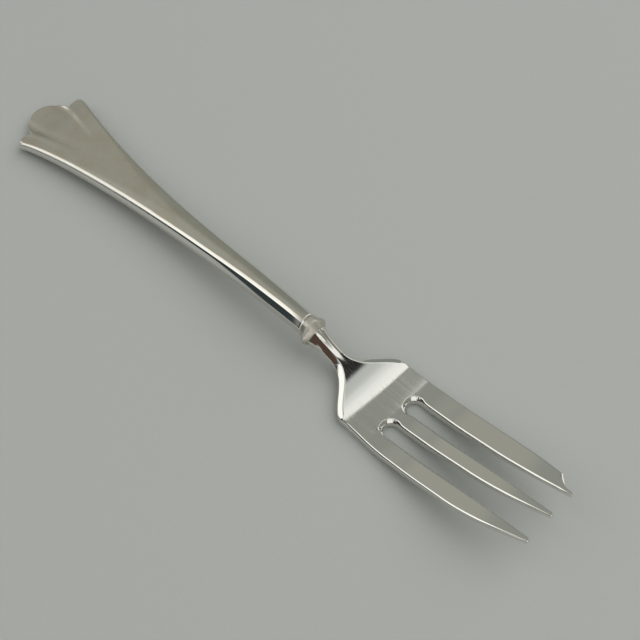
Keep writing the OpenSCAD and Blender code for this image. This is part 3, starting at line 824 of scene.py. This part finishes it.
def head_loop(fork, lines):
    """The whole outline as one line, with the width of metal beside each point."""
    parts, widths = [lines["bowl"][:-1]], [np.full(BOWL_ROWS - 1, fork.head_width)]
    for tine, slot_y in (("side", fork.side_y), ("middle", fork.middle_far_y), ("cutting", None)):
        low, high, tip = lines[tine]
        width = high[:, 1] - low[:, 1]
        parts += [low, tip[1:-1], high[::-1]]
        widths += [width, np.full(len(tip) - 2, width[-1]), width[::-1]]
        if slot_y is not None:
            turn = np.linspace(0, np.pi, SLOT_COLUMNS + 1)[1:-1]
            radius = fork.slot_width / 2
            parts.append(np.stack([fork.slot_centre - radius * np.sin(turn),
                                   slot_y + radius - radius * np.cos(turn)], axis=1))
            widths.append(np.full(len(turn), fork.slot_width))
    parts.append(lines["bowl"][:-1][::-1] * np.array([1.0, -1.0]))
    widths.append(widths[0])
    return np.concatenate(parts), np.concatenate(widths)


def head_grids():
    """Vertex numbers of the bowl's grid and of each tine's, and of the loop round them all."""
    cols = sum(TINE_COLUMNS.values()) + 2 * SLOT_COLUMNS + 1
    bowl = np.arange(BOWL_ROWS * cols).reshape(BOWL_ROWS, cols)
    count, first = bowl.size, 0
    grids, loop = {"bowl": bowl}, [bowl[:-1, 0]]
    for tine, columns in TINE_COLUMNS.items():
        base = bowl[-1, first:first + columns + 1]
        rest = count + np.arange((TINE_ROWS - 1) * (columns + 1)).reshape(TINE_ROWS - 1, -1)
        count += rest.size
        grid = np.concatenate([base[None], rest])
        grids[tine] = grid
        loop += [grid[:, 0], grid[-1, 1:-1], grid[::-1, -1]]
        first += columns
        if tine != "cutting":
            loop.append(bowl[-1, first + 1:first + SLOT_COLUMNS])
            first += SLOT_COLUMNS
    loop.append(bowl[:-1, -1][::-1])
    return grids, np.concatenate(loop), count


def head_face(grids, loop, count, start):
    """Plan places of one face of the head: the loop's own, and grids drawn between them."""
    place = np.zeros((count, 2))
    place[loop] = start

    def straight(row):
        return mix(place[row[0]], place[row[-1]], np.linspace(0, 1, len(row))[:, None])

    for tine in TINE_COLUMNS:
        place[grids[tine][0]] = straight(grids[tine][0])
    for name, grid in grids.items():
        first = straight(grid[0]) if name == "bowl" else place[grid[0]]
        place[grid] = coons(place[grid[:, 0]], place[grid[:, -1]], first, place[grid[-1]],
                            BOWL_LATE if name == "bowl" else 0.0)
    return place


def head_piece(material):
    """The head: neck, bowl and three tines in one closed form, with its tang."""
    fork = Fork()
    lines = head_lines(fork)
    grids, loop, count = head_grids()
    outline, width = head_loop(fork, lines)
    normal = outward(outline)
    for end, side in ((slice(0, 3), -1.0), (slice(-3, None), 1.0)):
        normal[end] = (0.0, side)
    x = outline[:, 0]
    at = np.maximum(x, fork.x_collar)
    in_neck = 1 - smooth((at - fork.x_shoulder) / (fork.x_root - fork.x_shoulder))
    near_side = np.abs(normal[:, 1])
    room = np.clip(RIM_ROOM_SHARE * width / (2 * fork.rim_rounding), LEAST_ROUNDING, 1)
    margin = fork.rim_rounding * room
    bevel = (fork.rim_half(at) - fork.top_half(at)) * near_side * in_neck
    bevel = np.maximum(bevel, margin)
    foot = fork.rim_half(at) * (1 - fork.foot_share(at)) * near_side * in_neck
    foot_margin = FOOT_ROUNDING * margin
    rim_drop = mix(RIM_DROP_SHARE * fork.thick(at), fork.seam_drop(at), in_neck)
    # The round roots of the slots are scooped, deepest at their ends
    slot_side = fork.head_width / 2 - SCOOP_SIDE * fork.side_tine_width
    scoop = np.where(np.abs(outline[:, 1]) < slot_side, 1.0, 0.0)
    run = SCOOP_RUN * fork.slot_width
    scoop *= 1 - smooth((x - fork.slot_centre) / run + SCOOP_RUN_BEHIND)
    scoop *= smooth((x - fork.x_root + fork.slot_width) / fork.slot_width)
    bevel = mix(bevel, SCOOP_REACH * MM, scoop)
    rim_drop = mix(rim_drop, SCOOP_DEPTH * MM, scoop)

    def top_height(x, y):
        at = np.maximum(x, fork.x_collar)
        q = np.clip(np.abs(y) / fork.top_half(at), 0, 1)
        # The crown fades into the bowl, and meets it without a crease
        crown = fork.crown(at) * (1 - q * q) ** mix(2, 1, fork.cove(at))
        return fork.top(at) + crown - TOP_LIP_SHARE * fork.lip(x)

    def under_height(x, y):
        return fork.under(np.maximum(x, fork.x_collar)) + fork.lip(x)

    top_start = outline - (bevel + margin)[:, None] * normal
    top_corner = outline - bevel[:, None] * normal
    foot_start = outline - (foot + foot_margin)[:, None] * normal
    foot_corner = outline - foot[:, None] * normal
    rings = rounded(
        [(-bevel - margin, top_height(*top_start.T)), (-bevel, top_height(*top_corner.T)),
         (0 * bevel, fork.top(at) - TOP_LIP_SHARE * fork.lip(x) - rim_drop),
         (-foot, under_height(*foot_corner.T)),
         (-foot - foot_margin, under_height(*foot_start.T))],
        [margin, RIM_TURN * MM * room, foot_margin], ARC_SHARE)[1:-1]
    top_face = head_face(grids, loop, count, top_start)
    foot_face = head_face(grids, loop, count, foot_start)
    bands, band_ids = banded(outline, normal, rings, loop, count)
    vertices = np.concatenate(
        [np.column_stack([top_face, top_height(*top_face.T)])] + bands
        + [np.column_stack([foot_face, under_height(*foot_face.T)])])
    under_start = count + len(bands) * len(loop)
    band_ids = np.array(band_ids + [under_start + loop])
    faces = quads(band_ids)
    for grid in grids.values():
        faces += quads(grid) + quads(grid + under_start)
    cap = np.concatenate([band_ids[::-1, 0], grids["bowl"][0, 1:-1], band_ids[:, -1],
                          (under_start + grids["bowl"][0, 1:-1])[::-1]])
    faces.append(cap.tolist())
    # The tang runs from inside the neck through the collar into the filling
    tang_z = fork.under(fork.x_mouth) + TANG_HEIGHT_SHARE * fork.mouth_thickness
    ends = (fork.x_collar - fork.tang_length, fork.x_collar + TANG_SINK * fork.neck_length)
    base = len(vertices)
    box = [(a, s * fork.tang_width / 2, tang_z + t * fork.tang_thickness / 2)
           for a in ends for s, t in ((-1, -1), (1, -1), (1, 1), (-1, 1))]
    vertices = np.concatenate([vertices, np.array(box)])
    faces += [[base + i for i in f] for f in (
        (0, 1, 2, 3), (4, 5, 6, 7), (0, 1, 5, 4), (1, 2, 6, 5), (2, 3, 7, 6), (3, 0, 4, 7))]
    return make_piece("head_blank", vertices, faces, material, "fork_head",
                      [(top_height, 1), (under_height, -1)])


def add_node(tree, kind, settings):
    """Adds one node and gives its outputs.

    A setting is a property, or a socket by name or number, fed by a value or a link.
    """
    made = tree.nodes.new(kind)
    for name, value in settings.items():
        if isinstance(name, str) and hasattr(made, name):
            setattr(made, name, value)
        elif isinstance(value, bpy.types.NodeSocket):
            tree.links.new(value, made.inputs[name])
        else:
            made.inputs[name].default_value = value
    return made.outputs


# Numbers of a Mix node's sockets for its share, its two colours and its result
MIX_SHARE, MIX_FIRST, MIX_SECOND, MIX_RESULT = 0, 6, 7, 2


def new_material(name):
    """An empty node material."""
    material = bpy.data.materials.get(name) or bpy.data.materials.new(name)
    material.use_nodes = True
    material.node_tree.nodes.clear()
    return material


# Hairlines from wiping run along the fork and are about 0.02 mm wide. They are drawn 0.1 mm
# wide, so that they show, as the ridges of a noise with cells this wide and high, in mm. Each
# set has a turn in radians that makes its noise another, and its cells per millimetre of length.
HAIRLINE_CELL_WIDTH, HAIRLINE_CELL_HEIGHT = 0.22, 0.9
HAIRLINE_SETS = ((0.45, 0.07), (-0.7, 0.05), (1.25, 0.06))
# What the lines add to the roughness, and their bump: strength, and depth in mm
HAIRLINE_ROUGHNESS, HAIRLINE_BUMP, HAIRLINE_DEPTH = 0.05, 0.05, 0.01
# Patches that fingers leave, in mm, and how much of the film varies with them
PATCH_SIZE, PATCH_SHARE = 5.0, 0.4
# The handle's sides grow duller from the first place along the fork to the second, in mm, by
# this much roughness, and its flats by a share less
HELD_FROM, HELD_TO = -12, -48
HELD_FILM, HELD_FLAT_LOSS = 0.26, 0.6
# Roughness that the film adds on the head and in the collar's hollows, and the share of the
# plate's colour that the collar keeps under its painted shade
WIPED_FILM, HOLLOW_FILM, COLLAR_PAINTED_SHADE = 0.02, 0.45, 0.72


def silver_plate(name, film_and_painted_shade_plate, film, hollows=0.0):
    """Silver plate, buffed to a mirror and worn in use.

    The buffed metal shows the room, hairline scratches break up the bright spots, and a film
    left by handling dulls it in patches. A share of the film also stays off the flats, where a
    form is small and hollow. On the collar the film's colour is a painted shade.
    """
    finish = bpy.context.scene.fork_finish
    material = new_material(name)
    tree = material.node_tree
    spots = add_node(tree, "ShaderNodeTexCoord", {})
    place = spots["Object"]
    lines = None
    for turn, cells in HAIRLINE_SETS:
        turned = add_node(tree, "ShaderNodeMapping", {
            "Vector": place, "Rotation": (0.0, 0.0, turn),
            "Scale": (cells / MM, 1.0 / (HAIRLINE_CELL_WIDTH * MM),
                      1.0 / (HAIRLINE_CELL_HEIGHT * MM))})[0]
        grain = add_node(tree, "ShaderNodeTexNoise", {
            "Vector": turned, "Scale": 1.0, "Detail": 2.0, "Roughness": 0.55})[0]
        line = add_node(tree, "ShaderNodeMapRange", {
            "interpolation_type": "SMOOTHSTEP", "Value": grain,
            "From Min": 0.58, "From Max": 0.7})[0]
        lines = line if lines is None else add_node(tree, "ShaderNodeMath", {
            "operation": "MAXIMUM", 0: lines, 1: line})[0]
    patches = add_node(tree, "ShaderNodeTexNoise", {
        "Vector": place, "Scale": 1.0 / (PATCH_SIZE * MM), "Detail": 3.0, "Roughness": 0.6})[0]
    worn = add_node(tree, "ShaderNodeMapRange", {
        "interpolation_type": "SMOOTHSTEP", "Value": patches,
        "From Min": 0.35, "From Max": 0.7})[0]
    # The film stays on the flats, and the sides are rubbed bright
    level = add_node(tree, "ShaderNodeMath", {
        "operation": "ABSOLUTE",
        0: add_node(tree, "ShaderNodeSeparateXYZ", {0: spots["Normal"]})["Z"]})[0]
    flat = add_node(tree, "ShaderNodeMapRange", {
        "interpolation_type": "SMOOTHSTEP", "Value": level,
        "From Min": 0.8, "From Max": 0.96})[0]
    patchy = add_node(tree, "ShaderNodeMath", {
        "operation": "MULTIPLY_ADD", 0: worn, 1: PATCH_SHARE, 2: 1 - PATCH_SHARE})[0]
    covered = add_node(tree, "ShaderNodeMath", {"operation": "MAXIMUM", 0: flat, 1: hollows})[0]
    film_and_shade_mask = add_node(tree, "ShaderNodeMath", {"operation": "MULTIPLY", 0: covered, 1: patchy})[0]
    rough = add_node(tree, "ShaderNodeMath", {
        "operation": "MULTIPLY_ADD", 0: film_and_shade_mask, 1: film, 2: finish.polish})[0]
    # The fan is what a hand holds, so its sides are duller than those near the collar
    held = add_node(tree, "ShaderNodeMapRange", {
        "interpolation_type": "SMOOTHSTEP",
        "Value": add_node(tree, "ShaderNodeSeparateXYZ", {0: place})["X"],
        "From Min": HELD_FROM * MM, "From Max": HELD_TO * MM, "To Max": HELD_FILM})[0]
    bare = add_node(tree, "ShaderNodeMath", {
        "operation": "MULTIPLY_ADD", 0: flat, 1: -HELD_FLAT_LOSS, 2: 1.0})[0]
    dulled = add_node(tree, "ShaderNodeMath", {
        "operation": "MULTIPLY_ADD", 0: held, 1: bare, 2: rough})[0]
    rougher = add_node(tree, "ShaderNodeMath", {
        "operation": "MULTIPLY_ADD", 0: lines, 1: HAIRLINE_ROUGHNESS, 2: dulled})[0]
    # On the collar the second colour is a painted shade, which the film's share spreads all round
    tone = add_node(tree, "ShaderNodeMix", {
        "data_type": "RGBA", MIX_SHARE: film_and_shade_mask, MIX_FIRST: (*finish.plate, 1.0),
        MIX_SECOND: (*film_and_painted_shade_plate, 1.0)})[MIX_RESULT]
    bump = add_node(tree, "ShaderNodeBump", {
        "Strength": HAIRLINE_BUMP, "Distance": HAIRLINE_DEPTH * MM, "Height": lines})[0]
    metal = add_node(tree, "ShaderNodeBsdfPrincipled", {
        "Base Color": tone, "Metallic": 1.0, "Roughness": rougher, "Normal": bump})[0]
    add_node(tree, "ShaderNodeOutputMaterial", {"Surface": metal})
    return material


def polished_plate():
    """The head's silver plate, which wiping keeps bright."""
    finish = bpy.context.scene.fork_finish
    return silver_plate("Silver plate, buffed", finish.plate, WIPED_FILM)


def handled_plate():
    """The handle's silver plate, dulled and warmed by hands."""
    finish = bpy.context.scene.fork_finish
    return silver_plate("Silver plate, buffed and handled", finish.handled_plate, finish.film)


def collar_plate_with_painted_shade():
    """The collar's plate: dull with film, and its colour darkened all round as a painted shade."""
    finish = bpy.context.scene.fork_finish
    # A darker copy of the handle's plate: painted shade for the collar's dark olive reflections
    dull = [COLLAR_PAINTED_SHADE * part for part in finish.handled_plate]
    return silver_plate("Silver plate, buffed, with film and painted shade", dull, HOLLOW_FILM, 1.0)


def handle_cement():
    """Hard handle cement, a filled rosin, poured in: dark brown, dull and grainy."""
    finish = bpy.context.scene.fork_finish
    material = new_material("Handle cement, poured")
    tree = material.node_tree
    place = add_node(tree, "ShaderNodeTexCoord", {})["Object"]
    # Grains of filler are about 0.3 mm
    grain = add_node(tree, "ShaderNodeTexNoise", {
        "Vector": place, "Scale": 1.0 / (0.3 * MM), "Detail": 2.0})[0]
    tone = add_node(tree, "ShaderNodeMix", {
        "data_type": "RGBA", MIX_SHARE: grain, MIX_FIRST: (*finish.cement, 1.0),
        MIX_SECOND: (*[0.5 * c for c in finish.cement], 1.0)})[MIX_RESULT]
    bump = add_node(tree, "ShaderNodeBump", {
        "Strength": 0.3, "Distance": 0.05 * MM, "Height": grain})[0]
    body = add_node(tree, "ShaderNodeBsdfPrincipled", {
        "Base Color": tone, "Roughness": 0.75, "IOR": 1.54, "Normal": bump})[0]
    add_node(tree, "ShaderNodeOutputMaterial", {"Surface": body})
    return material


# The studio over the fork as bands of tone along X, by direction and not by place, each from
# an edge on: edge, softness, how far the edge leans along Y, tone
STUDIO_START = (0.33, 0.335, 0.31)
STUDIO_BANDS = [
    (-0.70, 0.08, 0.0, (0.36, 0.363, 0.325)),
    (-0.52, 0.07, 0.0, (0.29, 0.3, 0.275)),
    (-0.193, 0.014, 2.1, (1.05, 1.05, 1.03)),
    (-0.12, 0.05, 0.0, (0.93, 0.95, 0.94)),
    (0.0, 0.07, 0.0, (0.77, 0.79, 0.78)),
    (0.11, 0.05, 0.0, (0.54, 0.56, 0.55)),
    (0.185, 0.012, 0.0, (0.018, 0.018, 0.018)),
    (0.325, 0.014, 0.0, (1.0, 1.0, 0.98)),
    (0.455, 0.03, 0.0, (0.5, 0.5, 0.48)),
    (0.49, 0.03, 0.0, (0.26, 0.265, 0.235)),
]
# A leaning edge is where its band says at the first direction along Y, and past the second
# it leans no further
LEAN_PIVOT, LEAN_END = 0.38, 0.397
# Height of the dim lower part of the studio, its softness and its tone
STUDIO_SKIRT = (0.2, 0.07, (0.16, 0.165, 0.13))
# Cards across the bands: an edge along X and the side that the card lies on, the same along Y,
# the softness of that edge, and the tone
STUDIO_CARDS = [
    (-0.25, -1, 0.14, -1, 0.1, (0.38, 0.395, 0.37)),
    (-0.25, -1, 0.58, 1, 0.12, (0.24, 0.26, 0.24)),
    (-0.27, -1, -0.10, -1, 0.04, (1.2, 1.2, 1.17)),
    (-0.80, -1, -0.05, -1, 0.04, (0.09, 0.085, 0.075)),
    (-0.27, 1, -0.12, -1, 0.06, (0.085, 0.055, 0.045)),
    (-0.27, -1, -0.62, -1, 0.05, (0.035, 0.045, 0.048)),
    (0.5, 1, -0.15, -1, 0.06, (1.0, 1.0, 0.97)),
    (0.04, 1, 0.66, 1, 0.06, (0.95, 0.95, 0.93)),
    (0.24, 1, 0.58, 1, 0.06, (0.24, 0.235, 0.2)),
]
# Softness of the cards' edges along X
CARD_SOFTNESS = 0.04
# Screens darker than this stop short of the zenith: height and softness of their upper edge
DARK_TONE, DARK_CARD_TOP, DARK_CARD_SOFTNESS = 0.1, 0.42, 0.06


def build_studio():
    """Sets up the world round the fork: a grey room with bright panels and dark screens."""
    world = bpy.data.worlds.new("Studio")
    bpy.context.scene.world = world
    world.use_nodes = True
    tree = world.node_tree
    tree.nodes.clear()
    direction = add_node(tree, "ShaderNodeTexCoord", {})["Generated"]
    along, across, up = add_node(tree, "ShaderNodeSeparateXYZ", {0: direction})
    # Every layer is a tone inside a few edges. A negative softness turns an edge round.
    layers = []
    for edge, softness, lean, tone in STUDIO_BANDS:
        coordinate = along
        if lean:
            across_to_end = add_node(tree, "ShaderNodeMath", {
                "operation": "MINIMUM", 0: across, 1: LEAN_END})[0]
            coordinate = add_node(tree, "ShaderNodeMath", {
                "operation": "MULTIPLY_ADD", 0: across_to_end, 1: lean, 2: along})[0]
        layers.append(([(coordinate, edge + LEAN_PIVOT * lean, softness)], tone))
    height, softness, tone = STUDIO_SKIRT
    layers.append(([(up, height, -softness)], tone))
    for x_edge, x_side, y_edge, y_side, softness, tone in STUDIO_CARDS:
        edges = [(along, x_edge, x_side * CARD_SOFTNESS), (across, y_edge, y_side * softness)]
        if max(tone) < DARK_TONE:
            edges.append((up, DARK_CARD_TOP, -DARK_CARD_SOFTNESS))
        layers.append((edges, tone))
    shade = (*STUDIO_START, 1.0)
    for edges, tone in layers:
        mask = None
        for coordinate, edge, softness in edges:
            past = add_node(tree, "ShaderNodeMapRange", {
                "interpolation_type": "SMOOTHSTEP", "Value": coordinate,
                "From Min": edge - softness, "From Max": edge + softness})[0]
            mask = past if mask is None else add_node(tree, "ShaderNodeMath", {
                "operation": "MULTIPLY", 0: mask, 1: past})[0]
        shade = add_node(tree, "ShaderNodeMix", {
            "data_type": "RGBA", MIX_SHARE: mask, MIX_FIRST: shade,
            MIX_SECOND: (*tone, 1.0)})[MIX_RESULT]
    room = add_node(tree, "ShaderNodeBackground", {"Color": shade, "Strength": 1.0})[0]
    add_node(tree, "ShaderNodeOutputWorld", {"Surface": room})


# Half the floor's side, in metres, and how far it lies under the fork so that they don't meet
FLOOR_HALF = 3.0
FLOOR_GAP = 0.02 * MM
# Grains of fine sand in the floor, in mm, and how far they vary its tone
SAND_SIZE, SAND_TONE = 0.6, 0.03


def build_floor():
    """A plain pale floor under the fork, a mineral worktop with a fine matt grain."""
    material = new_material("Worktop, matt mineral")
    tree = material.node_tree
    place = add_node(tree, "ShaderNodeTexCoord", {})["Object"]
    grain = add_node(tree, "ShaderNodeTexNoise", {
        "Vector": place, "Scale": 1.0 / (SAND_SIZE * MM), "Detail": 2.0})[0]
    base = bpy.context.scene.fork_stage.floor
    dark, light = ((*[min(1.0, k * c) for c in base], 1.0)
                   for k in (1 - SAND_TONE, 1 + SAND_TONE))
    tone = add_node(tree, "ShaderNodeMix", {
        "data_type": "RGBA", MIX_SHARE: grain, MIX_FIRST: dark, MIX_SECOND: light})[MIX_RESULT]
    body = add_node(tree, "ShaderNodeBsdfPrincipled", {
        "Base Color": tone, "Roughness": 0.8, "IOR": 1.5})[0]
    add_node(tree, "ShaderNodeOutputMaterial", {"Surface": body})
    mesh = bpy.data.meshes.new("floor")
    mesh.from_pydata([(FLOOR_HALF * x, FLOOR_HALF * y, 0)
                      for x, y in ((-1, -1), (1, -1), (1, 1), (-1, 1))], [], [(0, 1, 2, 3)])
    mesh.materials.append(material)
    floor = bpy.data.objects.new("floor", mesh)
    bpy.context.scene.collection.objects.link(floor)
    floor.location.z = -FLOOR_GAP


# The lamp's place and size in metres, and its power in watts
LAMP_PLACE = (0.45, 0.85, 1.35)
LAMP_SIZE, LAMP_POWER = 2.2, 18.5


def build_lamp():
    """One large soft lamp behind the fork to the right, seen by the floor and not in the metal."""
    data = bpy.data.lights.new("soft_lamp", "AREA")
    data.shape = "DISK"
    data.size = LAMP_SIZE
    data.energy = LAMP_POWER
    lamp = bpy.data.objects.new("soft_lamp", data)
    place = Vector(LAMP_PLACE)
    turn = place.to_track_quat("Z", "Y").to_matrix().to_4x4()
    lamp.matrix_world = Matrix.Translation(place) @ turn
    lamp.visible_glossy = False
    bpy.context.scene.collection.objects.link(lamp)


# The photograph's view: degrees round and over the fork and its roll, how far away it was,
# where it looks, and the lens in mm on a sensor this wide
VIEW_ROUND, VIEW_OVER, VIEW_ROLL = 43.0381, 57.8548, 1.1223
VIEW_DISTANCE = 263.446 * MM
VIEW_TARGET = (10.2531 * MM, 5.3698 * MM, 0.0)
VIEW_LENS, VIEW_SENSOR = 72.95, 36.0


def build_camera():
    """The camera at the photograph's viewing angle, for a square picture."""
    round_, over, roll = (math.radians(a) for a in (VIEW_ROUND, VIEW_OVER, VIEW_ROLL))
    back = Vector((math.sin(round_) * math.cos(over), -math.cos(round_) * math.cos(over),
                   math.sin(over)))
    right = Vector((math.cos(round_), math.sin(round_), 0.0))
    up = back.cross(right)
    turned_right = math.cos(roll) * right + math.sin(roll) * up
    turned_up = -math.sin(roll) * right + math.cos(roll) * up
    data = bpy.data.cameras.new("view")
    data.lens = VIEW_LENS
    data.sensor_width = VIEW_SENSOR
    data.clip_start = 0.01
    camera = bpy.data.objects.new("view", data)
    turn = Matrix((turned_right, turned_up, back)).transposed().to_4x4()
    camera.matrix_world = Matrix.Translation(Vector(VIEW_TARGET) + VIEW_DISTANCE * back) @ turn
    bpy.context.scene.collection.objects.link(camera)
    bpy.context.scene.camera = camera


class FORK_OT_head(bpy.types.Operator):
    """Makes the head with its neck, bowl, tines and tang"""
    bl_idname = "pastry_fork.head"
    bl_label = "Make the head"

    def execute(self, context):
        head_piece(polished_plate())
        return {"FINISHED"}


class FORK_OT_collar(bpy.types.Operator):
    """Makes the collar between the neck and the handle"""
    bl_idname = "pastry_fork.collar"
    bl_label = "Make the collar"

    def execute(self, context):
        collar_piece(collar_plate_with_painted_shade())
        return {"FINISHED"}


class FORK_OT_shells(bpy.types.Operator):
    """Makes the two pressed shells of the handle"""
    bl_idname = "pastry_fork.shells"
    bl_label = "Make the handle's shells"

    def execute(self, context):
        material = handled_plate()
        shell_piece(True, "front_pressing", "handle_front_shell", material)
        shell_piece(False, "back_pressing", "handle_back_shell", material)
        return {"FINISHED"}


class FORK_OT_filling(bpy.types.Operator):
    """Gives the handle's filling its cement"""
    bl_idname = "pastry_fork.filling"
    bl_label = "Finish the filling"

    def execute(self, context):
        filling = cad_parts["handle_filling"]
        filling.data.materials.clear()
        filling.data.materials.append(handle_cement())
        return {"FINISHED"}


class FORK_OT_stage(bpy.types.Operator):
    """Sets up the floor, the lamp, the studio and the camera"""
    bl_idname = "pastry_fork.stage"
    bl_label = "Set the stage"

    def execute(self, context):
        context.scene.view_settings.view_transform = "Standard"
        build_studio()
        build_floor()
        build_lamp()
        build_camera()
        return {"FINISHED"}


class FORK_PT_panel(bpy.types.Panel):
    """Lists the fork's sizes, its finish and the steps that make it"""
    bl_idname = "FORK_PT_panel"
    bl_label = "Pastry fork"
    bl_space_type = "VIEW_3D"
    bl_region_type = "UI"
    bl_category = "Pastry fork"

    def draw(self, context):
        for group in GROUPS:
            column = self.layout.column(align=True)
            column.label(text=GROUPS[group].__doc__)
            for name in GROUPS[group].__annotations__:
                column.prop(getattr(context.scene, group), name)
        for operator in STEPS:
            self.layout.operator(operator.bl_idname)


GROUPS = {"fork_handle": ForkHandleSizes, "fork_head": ForkHeadSizes,
          "fork_finish": ForkFinish, "fork_stage": ForkStage}
STEPS = [FORK_OT_head, FORK_OT_collar, FORK_OT_shells, FORK_OT_filling, FORK_OT_stage]
CLASSES = [*GROUPS.values(), *STEPS, FORK_PT_panel]


def register():
    for kind in CLASSES:
        bpy.utils.register_class(kind)
    for name, kind in GROUPS.items():
        setattr(bpy.types.Scene, name, bpy.props.PointerProperty(type=kind))


def unregister():
    for name in GROUPS:
        delattr(bpy.types.Scene, name)
    for kind in reversed(CLASSES):
        bpy.utils.unregister_class(kind)


def main():
    register()
    bpy.ops.pastry_fork.head()
    bpy.ops.pastry_fork.collar()
    bpy.ops.pastry_fork.shells()
    bpy.ops.pastry_fork.filling()
    bpy.ops.pastry_fork.stage()


if __name__ == "__main__":
    main()
